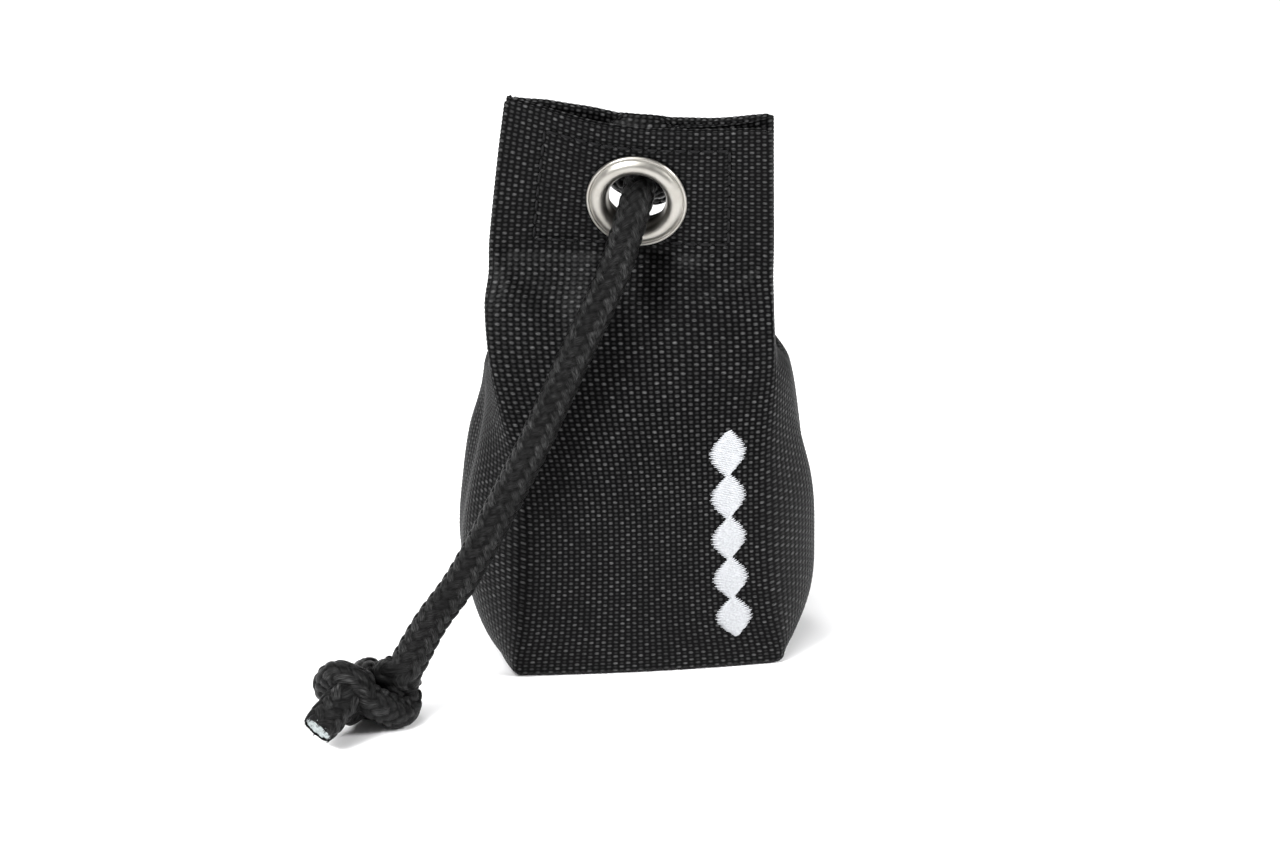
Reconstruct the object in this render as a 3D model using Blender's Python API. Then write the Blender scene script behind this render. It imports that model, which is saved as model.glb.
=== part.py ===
"""Pocket training bumper: a gusseted cloth pouch on a boxed base, closed by a stitched top band,
with an eyelet through the band and a braided throwing cord knotted at both of its ends.

Metres, +Z up. The origin is on the ground under the middle of the pouch, whose front faces -Y.
"""

import math

import bmesh
import bpy
from mathutils import Matrix, Vector

MM = 0.001
GAP = 0.3 * MM

# Cloth and band
CLOTH = 0.9 * MM
PANEL_BOTTOM = 0.3 * MM
BAND_BOTTOM = 88.0 * MM
BAND_TOP = 115.5 * MM
HEM_END = 86.0 * MM
FOLD_RADIUS = (CLOTH + GAP) / 2
GUSSET_LAP = 2.3 * MM
GUSSET_BAND_DEPTH = 3.0 * MM
GUSSET_TUCK = 17.0 * MM
GUSSET_INSET = 0.6 * MM
GUSSET_RUN = 0.42
GUSSET_BOTTOM = 2.2 * MM
GUSSET_TOP = BAND_TOP - 1.2 * MM
GUSSET_FOLD_START = 72.0 * MM
GUSSET_DEEPER_START = 76.0 * MM
TOP_LEFT_RISE = 4.6 * MM
TOP_MIDDLE_DROP = 1.5 * MM
FRONT_CROWN = 1.2 * MM
BACK_CROWN = 1.0 * MM

# Base, lining and filling
BASE_THICKNESS = 1.2 * MM
BASE_INSET = 1.9 * MM
LINER_INSET = 3.6 * MM
LINER_CLOTH = 0.5 * MM
LINER_BOTTOM = 3.0 * MM
LINER_TOP = 70.0 * MM
FILL_INSET = 5.0 * MM
FILL_BOTTOM = 4.2 * MM
FILL_TOP = 66.0 * MM
THREAD = 0.5 * MM

# Sewing
CORNER_SEAM_LOW = 4.0 * MM
CORNER_SEAM_HIGH = 72.0 * MM
CORNER_SEAM_INWARD = 1.5 * MM
CORNER_SEAM_DEPTH = 2.4 * MM
BASE_SEAM_INSET = 3.2 * MM
STITCH_PARTS = (0.13, 0.87)
STITCH_HEIGHTS = (87.7 * MM, 112.3 * MM)
MARK_HEIGHTS = (8.0 * MM, 52.0 * MM)
MARK_PART = 0.845
MARK_LOZENGES = 5
MARK_NARROW = 0.9 * MM
MARK_SWELL = 2.7 * MM
MARK_THICKNESS = 0.5 * MM

# Eyelet
EYELET_PART = 0.514
EYELET_HEIGHT = 99.1 * MM
EYELET_RADIUS = 10.0 * MM
EYELET_BORE = 5.6 * MM
BARREL_WALL = 0.5 * MM
PANEL_HOLE = 6.5 * MM
BAND_STACK = 7.4 * MM
WASHER_THICKNESS = 1.0 * MM
WASHER_RADIUS = 9.5 * MM
ROLLED_RIM = 0.8 * MM
ROLLED_RADIUS = 7.0 * MM
CREST_RADIUS = 7.9 * MM
CREST_HALF_WIDTH = 2.3 * MM
CREST_RISE = 1.15 * MM

# Cord
CORD_RADIUS = 3.35 * MM
PIVOT_HEIGHT = 3.0 * MM
STOPPER_LEAD = 1.2 * MM
BIGHT_BACK = BAND_STACK + WASHER_THICKNESS + 2 * GAP + ROLLED_RIM + STOPPER_LEAD
TAIL_ROUTE = (
    (-4.2, -18.1, 91.5),
    (-7.0, -19.5, 85.5),
    (-10.6, -21.1, 78.4),
    (-15.0, -22.9, 70.2),
    (-19.4, -24.7, 61.4),
    (-23.9, -26.5, 52.7),
    (-29.0, -28.6, 43.8),
    (-34.6, -30.9, 34.3),
    (-40.0, -33.1, 26.0),
    (-44.6, -35.1, 19.2),
    (-48.9, -37.2, 14.3),
    (-50.6, -38.5, 12.9),
)
KNOT_CENTRE = Vector((-58.0, -43.6, 8.3)) * MM
KNOT_RADII = Vector((9.7, 7.9, 8.1)) * MM
STOPPER_RADII = Vector((8.6, 9.2, 6.0)) * MM
KNOT_LOBES = 3
KNOT_SWELL = 0.045
STUB_START = Vector((-66.1, -48.6, 4.9)) * MM
STUB_END = Vector((-69.7, -50.9, 3.9)) * MM
CORE_RADIUS = 2.2 * MM
CORE_THICKNESS = 0.7 * MM
TAIL_LEAD = 0.4 * MM

# The pouch's outline, level by level, in millimetres: height, the x and y of its four corners
# (front left, front right, back right, back left), and how far each side stands out between them.
LEVELS = (
    (0.3, (-28.0, -20.0), (28.0, -20.0), (28.0, 20.0), (-28.0, 20.0), 1.5, 1.5),
    (4.0, (-27.6, -21.0), (27.2, -21.0), (27.4, 21.0), (-27.6, 21.0), 5.2, 6.6),
    (12.0, (-26.2, -22.2), (25.0, -22.2), (25.6, 22.2), (-26.2, 22.2), 9.6, 11.8),
    (24.0, (-25.2, -23.2), (23.4, -23.2), (24.2, 23.5), (-25.2, 23.5), 12.8, 14.0),
    (36.0, (-25.2, -23.0), (22.9, -23.3), (24.0, 22.7), (-25.2, 22.7), 12.2, 14.2),
    (46.0, (-26.4, -21.2), (23.0, -22.5), (24.6, 19.6), (-26.4, 19.8), 9.4, 12.4),
    (56.0, (-28.8, -17.9), (24.0, -20.6), (26.4, 14.6), (-27.6, 15.6), 4.4, 8.6),
    (66.0, (-30.7, -13.7), (25.2, -18.8), (27.6, 7.8), (-28.8, 10.4), 1.6, 3.8),
    (76.0, (-31.6, -9.3), (25.4, -17.3), (27.4, 0.2), (-29.6, 5.8), 0.0, 0.0),
    (82.0, (-31.5, -6.6), (25.1, -16.8), (27.0, -5.4), (-29.6, 3.0), 0.0, 0.0),
    (88.0, (-31.2, -4.5), (25.0, -17.3), (26.3, -9.9), (-29.4, 2.7), 0.0, 0.0),
    (98.0, (-29.7, -7.1), (24.4, -19.7), (25.7, -12.3), (-28.0, 0.1), 0.0, 0.0),
    (115.5, (-27.5, -12.1), (23.2, -24.3), (24.6, -16.9), (-25.5, -4.9), 0.0, 0.0),
)
FRONT_LEFT, FRONT_RIGHT, BACK_RIGHT, BACK_LEFT = 1, 2, 3, 4
SIDE_ENDS = {
    "front": (FRONT_LEFT, FRONT_RIGHT),
    "right": (FRONT_RIGHT, BACK_RIGHT),
    "back": (BACK_RIGHT, BACK_LEFT),
    "left": (BACK_LEFT, FRONT_LEFT),
}
STAND_OUT = {"left": 5, "right": 6}


def clear_scene():
    for obj in list(bpy.data.objects):
        bpy.data.objects.remove(obj, do_unlink=True)


def material(name, colour, roughness, metallic=0.0):
    made = bpy.data.materials.new(name)
    made.use_nodes = True
    shader = made.node_tree.nodes["Principled BSDF"]
    shader.inputs["Base Color"].default_value = (*colour, 1.0)
    shader.inputs["Roughness"].default_value = roughness
    shader.inputs["Metallic"].default_value = metallic
    return made


def mesh_object(name, points, faces, colour, smooth=False):
    """An object of this mesh, with its faces turned outwards."""
    mesh = bpy.data.meshes.new(name)
    mesh.from_pydata([tuple(point) for point in points], [], faces)
    work = bmesh.new()
    work.from_mesh(mesh)
    bmesh.ops.recalc_face_normals(work, faces=work.faces)
    work.to_mesh(mesh)
    work.free()
    obj = bpy.data.objects.new(name, mesh)
    bpy.context.collection.objects.link(obj)
    mesh.materials.append(colour)
    if smooth:
        mesh.shade_smooth()
        mesh.set_sharp_from_angle(angle=math.radians(40))
    return obj


def smoothstep(low, high, value):
    part = min(1.0, max(0.0, (value - low) / (high - low)))
    return part * part * (3 - 2 * part)


def level_value(column, height):
    """One column of LEVELS at any height, on a smooth curve through the levels."""
    heights = [level[0] * MM for level in LEVELS]
    values = [level[column] for level in LEVELS]
    if isinstance(values[0], tuple):
        values = [Vector(value) * MM for value in values]
    else:
        values = [value * MM for value in values]
    last = len(heights) - 1
    place = 0
    while place < last - 1 and height > heights[place + 1]:
        place += 1

    def slope(index):
        low, high = max(0, index - 1), min(last, index + 1)
        return (values[high] - values[low]) / (heights[high] - heights[low])

    span = heights[place + 1] - heights[place]
    part = (height - heights[place]) / span
    square, cube = part * part, part * part * part
    return (
        values[place] * (2 * cube - 3 * square + 1)
        + slope(place) * span * (cube - 2 * square + part)
        + values[place + 1] * (3 * square - 2 * cube)
        + slope(place + 1) * span * (cube - square)
    )


def lifted(x, height):
    """The true height of a point: the band's top edge climbs to the left and dips in the middle."""
    share = smoothstep(BAND_BOTTOM, BAND_TOP, height)
    climb = TOP_LEFT_RISE * max(0.0, -x / (27 * MM)) ** 1.5
    return height + share * (climb - TOP_MIDDLE_DROP)


def panel_point(side, part, height):
    """A point of the outer face of the front or the back panel; part runs from corner to corner."""
    start, end = (level_value(column, height) for column in SIDE_ENDS[side])
    along = start.lerp(end, part)
    chord = (end - start).normalized()
    crown = FRONT_CROWN if side == "front" else BACK_CROWN
    crown *= 1 - smoothstep(BAND_BOTTOM - 20 * MM, BAND_BOTTOM, height)
    along += Vector((chord.y, -chord.x)) * crown * math.sin(math.pi * part)
    return Vector((along.x, along.y, lifted(along.x, height)))


def panel_frame(side, part, height):
    """The outward normal and the upward tangent of a panel."""
    step, rise = 0.01, 0.2 * MM
    across = panel_point(side, part + step, height) - panel_point(side, part - step, height)
    up = panel_point(side, part, height + rise) - panel_point(side, part, height - rise)
    return across.cross(up).normalized(), up.normalized()


def gusset_edge(side, face, height):
    """Where a gusset is sewn behind the edge of a panel: the point, and the way outwards there."""
    corner = 1.0 if (side == "right") == (face == "front") else 0.0
    normal, _ = panel_frame(face, corner, height)
    deeper = smoothstep(GUSSET_DEEPER_START, HEM_END - 1 * MM, height)
    depth = GUSSET_LAP + (GUSSET_BAND_DEPTH - GUSSET_LAP) * deeper
    edge = panel_point(face, corner, height)
    outward = edge - panel_point(face, 0.5, height)
    outward.z = 0
    outward.normalize()
    edge.z = height
    return edge - outward * GUSSET_INSET - normal * depth, outward


def gusset_point(side, part, height):
    """A point of the middle of a side gusset; it stands out below and folds inwards in the band."""
    start, start_outward = gusset_edge(side, "front", height)
    end, end_outward = gusset_edge(side, "back", height)
    outward = (start_outward + end_outward).normalized()
    fold = smoothstep(GUSSET_FOLD_START, HEM_END, height)
    half_gap = (start - end).length / 2
    tuck = GUSSET_TUCK - half_gap
    if part < GUSSET_RUN:
        deep, reach = 0.0, -tuck * part / GUSSET_RUN
    elif part > 1 - GUSSET_RUN:
        deep, reach = 1.0, -tuck * (1 - part) / GUSSET_RUN
    else:
        turn = math.pi * (part - GUSSET_RUN) / (1 - 2 * GUSSET_RUN)
        deep = 0.5 - 0.5 * math.cos(turn)
        reach = -tuck - half_gap * math.sin(turn)
    bulge = level_value(STAND_OUT[side], height) * math.sin(math.pi * part)
    point = start.lerp(end, (1 - fold) * part + fold * deep)
    point += outward * ((1 - fold) * bulge + fold * reach)
    point.z += lifted(point.x, height) - height
    return point


def thick_sheet(name, grid, colour):
    """A sheet as one closed solid, from rows of pairs of points: its outer and its inner face."""
    rows, columns = len(grid), len(grid[0])
    points = [pair[face] for row in grid for pair in row for face in (0, 1)]

    def index(row, column, face):
        return 2 * (row * columns + column) + face

    faces = []
    for row in range(rows - 1):
        for column in range(columns - 1):
            for face in (0, 1):
                faces.append([
                    index(row, column, face), index(row + 1, column, face),
                    index(row + 1, column + 1, face), index(row, column + 1, face),
                ])
    for row in range(rows - 1):
        for column in (0, columns - 1):
            faces.append([index(row, column, 0), index(row + 1, column, 0),
                          index(row + 1, column, 1), index(row, column, 1)])
    for column in range(columns - 1):
        for row in (0, rows - 1):
            faces.append([index(row, column, 0), index(row, column + 1, 0),
                          index(row, column + 1, 1), index(row, column, 1)])
    return mesh_object(name, points, faces, colour)


def hemmed_panel(side, colour):
    """The front or the back panel: up the outside, over the top fold, and down inside as the hem."""
    name = side + "_panel"
    count = 14
    hem_top = BAND_TOP - FOLD_RADIUS
    heights = [PANEL_BOTTOM + (hem_top - PANEL_BOTTOM) * step / 18 for step in range(19)]
    path = [(height, CLOTH / 2, 0.0) for height in heights]
    for step in range(1, 4):
        angle = math.pi * step / 4
        path.append((hem_top, CLOTH / 2 + FOLD_RADIUS * (1 - math.cos(angle)), angle))
    for step in range(6):
        height = hem_top + (HEM_END - hem_top) * step / 5
        path.append((height, CLOTH / 2 + 2 * FOLD_RADIUS, math.pi))
    grid = []
    for place in range(count):
        part = place / (count - 1)
        row = []
        for height, depth, angle in path:
            normal, up = panel_frame(side, part, height)
            turned = normal * math.cos(angle) + up * math.sin(angle)
            rise = up * FOLD_RADIUS * math.sin(angle)
            middle = panel_point(side, part, height) - normal * depth + rise
            row.append((middle + turned * CLOTH / 2, middle - turned * CLOTH / 2))
        grid.append(row)
    return thick_sheet(name, grid, colour)


def gusset(side, colour):
    parts = [GUSSET_RUN * step / 5 for step in range(6)] + [0.45, 0.5]
    parts += [1 - part for part in reversed(parts[:-1])]
    rows = 18
    grid = []
    for part in parts:
        row = []
        for step in range(rows):
            height = GUSSET_BOTTOM + (GUSSET_TOP - GUSSET_BOTTOM) * step / (rows - 1)
            middle = gusset_point(side, part, height)
            near, far = max(0.0, part - 0.01), min(1.0, part + 0.01)
            across = gusset_point(side, far, height) - gusset_point(side, near, height)
            up = gusset_point(side, part, height + 0.2 * MM) - gusset_point(side, part, height - 0.2 * MM)
            normal = across.cross(up).normalized()
            row.append((middle + normal * CLOTH / 2, middle - normal * CLOTH / 2))
        grid.append(row)
    return thick_sheet(side + "_gusset", grid, colour)


def ring(height, inset, count=32):
    """A level line round the pouch, drawn in from the outline by inset."""
    line = []
    for side in ("front", "right", "back", "left"):
        start, end = (level_value(column, height) for column in SIDE_ENDS[side])
        for step in range(count // 4):
            part = step / (count // 4)
            spot = start.lerp(end, part)
            if side in STAND_OUT:
                outward = 1 if side == "right" else -1
                spot.x += outward * level_value(STAND_OUT[side], height) * math.sin(math.pi * part)
            line.append(spot)
    centre = Vector(((max(p.x for p in line) + min(p.x for p in line)) / 2,
                     (max(p.y for p in line) + min(p.y for p in line)) / 2))
    half = Vector((max(p.x for p in line), max(p.y for p in line))) - centre
    shrink = Vector((1 - inset / half.x, 1 - inset / half.y))
    return [Vector((centre.x + (p.x - centre.x) * shrink.x,
                    centre.y + (p.y - centre.y) * shrink.y, height)) for p in line]


def loft(name, rings, colour):
    """A closed solid through rings of the same number of points, with flat ends."""
    count = len(rings[0])
    points = [point for line in rings for point in line]
    faces = []
    for row in range(len(rings) - 1):
        for place in range(count):
            beside = (place + 1) % count
            faces.append([row * count + place, row * count + beside,
                          (row + 1) * count + beside, (row + 1) * count + place])
    faces.append(list(range(count)))
    faces.append([(len(rings) - 1) * count + place for place in range(count)])
    return mesh_object(name, points, faces, colour)


def base_panel(colour):
    low = ring(PANEL_BOTTOM, BASE_INSET)
    rings = [[Vector((p.x, p.y, height)) for p in low] for height in (0.0, BASE_THICKNESS)]
    return loft("base_panel", rings, colour)


def filling(colour):
    heights = [FILL_BOTTOM + (FILL_TOP - FILL_BOTTOM) * step / 8 for step in range(9)]
    rings = [ring(height, FILL_INSET) for height in heights]
    return loft("filling", rings, colour)


def liner_bag(colour):
    """The inner bag that holds the filling, open at its gathered mouth."""
    outer = [LINER_BOTTOM + (LINER_TOP - LINER_BOTTOM) * step / 8 for step in range(9)]
    rings = [ring(height, LINER_INSET) for height in outer]
    inner = [max(height, LINER_BOTTOM + LINER_CLOTH) for height in reversed(outer)]
    rings += [ring(height, LINER_INSET + LINER_CLOTH) for height in inner]
    return loft("liner_bag", rings, colour)


def tube(name, points, radius, colour, closed=False, sides=2):
    """A round tube along these points, with filled ends."""
    curve = bpy.data.curves.new(name, "CURVE")
    curve.dimensions = "3D"
    curve.bevel_depth = radius
    curve.bevel_resolution = sides
    curve.use_fill_caps = not closed
    spline = curve.splines.new("POLY")
    spline.points.add(len(points) - 1)
    for spot, point in zip(spline.points, points):
        spot.co = (*point, 1.0)
    spline.use_cyclic_u = closed
    curve.materials.append(colour)
    obj = bpy.data.objects.new(name, curve)
    bpy.context.collection.objects.link(obj)
    return obj


def box_stitch(side, colour):
    """The thread that closes the band: a rectangle sewn through all of its layers."""
    (left, right), (low, high) = STITCH_PARTS, STITCH_HEIGHTS
    corners = ((left, low), (right, low), (right, high), (left, high))
    count = 12
    points = []
    for place, (part, height) in enumerate(corners):
        next_part, next_height = corners[(place + 1) % 4]
        for step in range(count):
            share = step / count
            here = part + (next_part - part) * share, height + (next_height - height) * share
            normal, _ = panel_frame(side, *here)
            points.append(panel_point(side, *here) + normal * (2 * GAP + THREAD / 2))
    return tube("box_stitch_" + side, points, THREAD / 2, colour, closed=True, sides=1)


def corner_seam(side, end, name, colour):
    """The thread of one upright seam, inside the pouch behind the corner of a panel."""
    points = []
    for step in range(15):
        height = CORNER_SEAM_LOW + (CORNER_SEAM_HIGH - CORNER_SEAM_LOW) * step / 14
        corner = panel_point(side, end, height)
        normal, _ = panel_frame(side, end, height)
        inward = (panel_point(side, 0.5, height) - corner).normalized()
        points.append(corner + inward * CORNER_SEAM_INWARD - normal * CORNER_SEAM_DEPTH)
    return tube(name, points, THREAD / 2, colour, sides=1)


def base_seam(colour):
    line = ring(PANEL_BOTTOM, BASE_SEAM_INSET)
    points = [Vector((p.x, p.y, BASE_THICKNESS + GAP + THREAD / 2)) for p in line]
    return tube("base_seam_thread", points, THREAD / 2, colour, closed=True, sides=1)


def embroidered_mark(colour):
    """A plain column of stitched lozenges on the front panel."""
    low, high = MARK_HEIGHTS
    rows = 31
    grid = [[], [], []]
    for step in range(rows):
        height = low + (high - low) * step / (rows - 1)
        phase = MARK_LOZENGES * step / (rows - 1)
        half_width = MARK_NARROW + MARK_SWELL * abs(math.sin(math.pi * phase))
        span = (panel_point("front", 1.0, height) - panel_point("front", 0.0, height)).length
        for place, column in enumerate(grid):
            part = MARK_PART + (place - 1) * half_width / span
            normal, _ = panel_frame("front", part, height)
            face = panel_point("front", part, height)
            column.append((face + normal * (GAP + MARK_THICKNESS), face + normal * GAP))
    return thick_sheet("embroidered_mark", grid, colour)


def eyelet_frame():
    """The middle of the eyelet on the face of the front panel, and its axis, which points forwards."""
    normal, _ = panel_frame("front", EYELET_PART, EYELET_HEIGHT)
    return panel_point("front", EYELET_PART, EYELET_HEIGHT), normal


def axis_frame(origin, axis):
    """A matrix whose Z runs along axis, and whose origin is origin."""
    turn = Vector((0, 0, 1)).rotation_difference(axis)
    return Matrix.Translation(origin) @ turn.to_matrix().to_4x4()


def turned(name, profile, place, colour, count=32, closed=True):
    """A turned solid: a profile of (radius, height) pairs round the Z axis of place.

    A closed profile goes round a bore; an open one starts and ends on the axis.
    """
    points, faces, lines = [], [], []
    for radius, height in profile:
        if radius == 0:
            lines.append([len(points)] * count)
            points.append(place @ Vector((0, 0, height)))
            continue
        lines.append([len(points) + step for step in range(count)])
        for step in range(count):
            angle = 2 * math.pi * step / count
            points.append(place @ Vector((radius * math.cos(angle), radius * math.sin(angle), height)))
    pairs = list(zip(lines, lines[1:] + lines[:1])) if closed else list(zip(lines, lines[1:]))
    for low, high in pairs:
        for step in range(count):
            beside = (step + 1) % count
            corners = [low[step], low[beside], high[beside], high[step]]
            faces.append(list(dict.fromkeys(corners)))
    return mesh_object(name, points, faces, colour, smooth=True)


def eyelet(colour):
    """The front half of the eyelet: a rounded flange, a barrel, and the end rolled over the washer."""
    place = axis_frame(*eyelet_frame())
    barrel = EYELET_BORE + BARREL_WALL
    back = -BAND_STACK - WASHER_THICKNESS - 2 * GAP
    profile = [
        (barrel, GAP), (EYELET_RADIUS - 0.4 * MM, GAP), (EYELET_RADIUS, GAP + 0.35 * MM),
        (EYELET_RADIUS - 0.35 * MM, GAP + 0.75 * MM), (EYELET_RADIUS - 1.0 * MM, GAP + 0.8 * MM),
    ]
    crest_height = GAP + 0.55 * MM
    for step in range(9):
        angle = math.pi * (0.12 + 0.88 * step / 8)
        outer_share = 0.62 if step < 4 else 1.0
        profile.append((CREST_RADIUS + CREST_HALF_WIDTH * math.cos(angle) * outer_share,
                        crest_height + CREST_RISE * math.sin(angle)))
    profile += [
        (EYELET_BORE, back), (EYELET_BORE + 0.3 * MM, back - 0.6 * MM), (ROLLED_RADIUS, back - ROLLED_RIM),
        (ROLLED_RADIUS + 0.5 * MM, back - 0.45 * MM), (ROLLED_RADIUS + 0.4 * MM, back), (barrel, back),
    ]
    return turned("eyelet", profile, place, colour)


def eyelet_washer(colour):
    place = axis_frame(*eyelet_frame())
    front = -BAND_STACK - GAP
    back = front - WASHER_THICKNESS
    inner = EYELET_BORE + BARREL_WALL + 0.25 * MM
    profile = [
        (inner, front), (inner, back), (WASHER_RADIUS - 0.5 * MM, back),
        (WASHER_RADIUS, back + 0.3 * MM), (WASHER_RADIUS, front),
    ]
    return turned("eyelet_washer", profile, place, colour)


def punch_hole(panels):
    """Cuts the eyelet's hole through both of the band's panels."""
    mesh = bpy.data.meshes.new("eyelet_cutter")
    work = bmesh.new()
    bmesh.ops.create_cone(work, cap_ends=True, segments=32, radius1=PANEL_HOLE, radius2=PANEL_HOLE,
                          depth=30 * MM, matrix=axis_frame(*eyelet_frame()))
    work.to_mesh(mesh)
    work.free()
    cutter = bpy.data.objects.new("eyelet_cutter", mesh)
    bpy.context.collection.objects.link(cutter)
    cutter.hide_render = True
    cutter.display_type = "WIRE"
    for panel in panels:
        cut = panel.modifiers.new("eyelet_hole", "BOOLEAN")
        cut.operation = "DIFFERENCE"
        cut.solver = "EXACT"
        cut.object = cutter


def cord_bight(colour):
    """The short run of cord through the eyelet, from the stopper knot to a round end at the pivot."""
    centre, axis = eyelet_frame()
    place = axis_frame(centre + axis * PIVOT_HEIGHT, axis)
    back = -PIVOT_HEIGHT - BIGHT_BACK
    profile = [(0, back), (CORD_RADIUS, back), (CORD_RADIUS, 0)]
    for step in range(1, 5):
        angle = math.pi / 2 * step / 5
        profile.append((CORD_RADIUS * math.cos(angle), CORD_RADIUS * math.sin(angle)))
    profile.append((0, CORD_RADIUS))
    return turned("cord_bight", profile, place, colour, count=16, closed=False)


def knot(name, centre, axis, radii, colour):
    """A pulled-tight knot: a rounded body with soft lobes round it."""
    place = axis_frame(centre, axis)
    work = bmesh.new()
    bmesh.ops.create_uvsphere(work, u_segments=18, v_segments=10, radius=1.0)
    for vert in work.verts:
        spot = vert.co.normalized()
        around = math.atan2(spot.y, spot.x)
        swell = 1 - KNOT_SWELL * (1 - math.cos(KNOT_LOBES * around)) * (1 - spot.z * spot.z)
        vert.co = place @ (Vector((spot.x * radii.x, spot.y * radii.y, spot.z * radii.z)) * swell)
    points = [vert.co.copy() for vert in work.verts]
    work.verts.index_update()
    faces = [[vert.index for vert in face.verts] for face in work.faces]
    work.free()
    return mesh_object(name, points, faces, colour, smooth=True)


def smooth_route(points, gap):
    """Points about gap apart on a smooth curve through the route's own points."""
    ends = [points[0] * 2 - points[1]] + points + [points[-1] * 2 - points[-2]]
    fine = []
    for before, here, after, beyond in zip(ends, ends[1:], ends[2:], ends[3:]):
        for step in range(12):
            part = step / 12
            fine.append(0.5 * (
                2 * here + (after - before) * part
                + (2 * before - 5 * here + 4 * after - beyond) * part ** 2
                + (3 * here - before - 3 * after + beyond) * part ** 3
            ))
    fine.append(points[-1])
    count = max(2, round(sum((b - a).length for a, b in zip(fine, fine[1:])) / gap))
    total = sum((b - a).length for a, b in zip(fine, fine[1:]))
    line, walked, place = [fine[0]], 0.0, 0
    for step in range(1, count):
        target = total * step / count
        while walked + (fine[place + 1] - fine[place]).length < target:
            walked += (fine[place + 1] - fine[place]).length
            place += 1
        part = (target - walked) / (fine[place + 1] - fine[place]).length
        line.append(fine[place].lerp(fine[place + 1], part))
    return line + [fine[-1]]


def cord_tail(colour):
    """The free cord, from the front of the eyelet down to the end knot on the ground."""
    route = [Vector(point) * MM for point in TAIL_ROUTE]
    centre, axis = eyelet_frame()
    pivot = centre + axis * PIVOT_HEIGHT
    first = (route[0] - pivot).normalized()
    route.insert(0, pivot + first * (CORD_RADIUS + TAIL_LEAD))
    return tube("cord_tail", smooth_route(route, 2.2 * CORD_RADIUS), CORD_RADIUS, colour)


def build():
    clear_scene()
    cloth = material("heavy_cloth", (0.018, 0.018, 0.020), 0.75)
    lining = material("lining", (0.08, 0.08, 0.09), 0.85)
    thread = material("thread", (0.03, 0.03, 0.034), 0.6)
    white = material("white_thread", (0.82, 0.83, 0.85), 0.55)
    nickel = material("nickel", (0.72, 0.71, 0.69), 0.28, metallic=1.0)
    braid = material("cord_braid", (0.02, 0.02, 0.021), 0.45)
    core = material("cord_core", (0.85, 0.86, 0.86), 0.7)
    grain = material("filling", (0.35, 0.34, 0.32), 0.9)

    panels = [hemmed_panel("front", cloth), hemmed_panel("back", cloth)]
    punch_hole(panels)
    gusset("left", cloth)
    gusset("right", cloth)
    base_panel(cloth)
    liner_bag(lining)
    filling(grain)
    for side, end, name in (
        ("front", 0.0, "seam_thread_front_left"), ("front", 1.0, "seam_thread_front_right"),
        ("back", 0.0, "seam_thread_back_right"), ("back", 1.0, "seam_thread_back_left"),
    ):
        corner_seam(side, end, name, thread)
    base_seam(thread)
    box_stitch("front", thread)
    box_stitch("back", thread)
    embroidered_mark(white)
    eyelet(nickel)
    eyelet_washer(nickel)

    cord_bight(braid)
    centre, axis = eyelet_frame()
    stopper_centre = centre - axis * (BIGHT_BACK + GAP + STOPPER_RADII.z)
    knot("stopper_knot", stopper_centre, axis, STOPPER_RADII, braid)
    cord_tail(braid)
    knot("end_knot", KNOT_CENTRE, Vector((0, 0, 1)), KNOT_RADII, braid)
    tube("cord_stub", [STUB_START, STUB_START.lerp(STUB_END, 0.5), STUB_END], CORD_RADIUS, braid)
    along = (STUB_END - STUB_START).normalized()
    place = axis_frame(STUB_END + along * GAP, along)
    profile = [(0, 0), (CORE_RADIUS, 0), (CORE_RADIUS * 0.9, CORE_THICKNESS - 0.1 * MM), (0, CORE_THICKNESS)]
    turned("cord_core", profile, place, core, count=16, closed=False)


build()
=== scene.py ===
"""The looks of the pocket training bumper: woven pouch, stitched band, eyelet and braided cord.

Metres, +Z up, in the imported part's own frame. The pouch's front faces -Y and it stands on z = 0.
"""

import math

import bpy
import numpy as np
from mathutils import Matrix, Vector

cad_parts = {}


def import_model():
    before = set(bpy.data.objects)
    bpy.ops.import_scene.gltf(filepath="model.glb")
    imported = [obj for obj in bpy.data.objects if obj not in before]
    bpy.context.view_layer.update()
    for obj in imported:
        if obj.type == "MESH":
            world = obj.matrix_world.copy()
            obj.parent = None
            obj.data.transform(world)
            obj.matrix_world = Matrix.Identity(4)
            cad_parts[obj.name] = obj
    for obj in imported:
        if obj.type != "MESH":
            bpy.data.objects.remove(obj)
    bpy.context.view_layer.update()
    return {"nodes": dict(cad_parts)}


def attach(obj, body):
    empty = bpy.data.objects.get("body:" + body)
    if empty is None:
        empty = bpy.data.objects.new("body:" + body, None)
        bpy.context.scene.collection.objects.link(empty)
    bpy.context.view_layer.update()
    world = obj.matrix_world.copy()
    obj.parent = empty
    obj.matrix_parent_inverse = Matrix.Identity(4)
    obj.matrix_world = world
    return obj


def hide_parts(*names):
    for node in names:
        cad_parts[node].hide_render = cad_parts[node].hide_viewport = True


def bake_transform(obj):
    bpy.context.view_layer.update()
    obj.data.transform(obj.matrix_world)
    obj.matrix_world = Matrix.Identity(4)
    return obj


MM = 0.001
UP = np.array((0.0, 0.0, 1.0))

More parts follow.
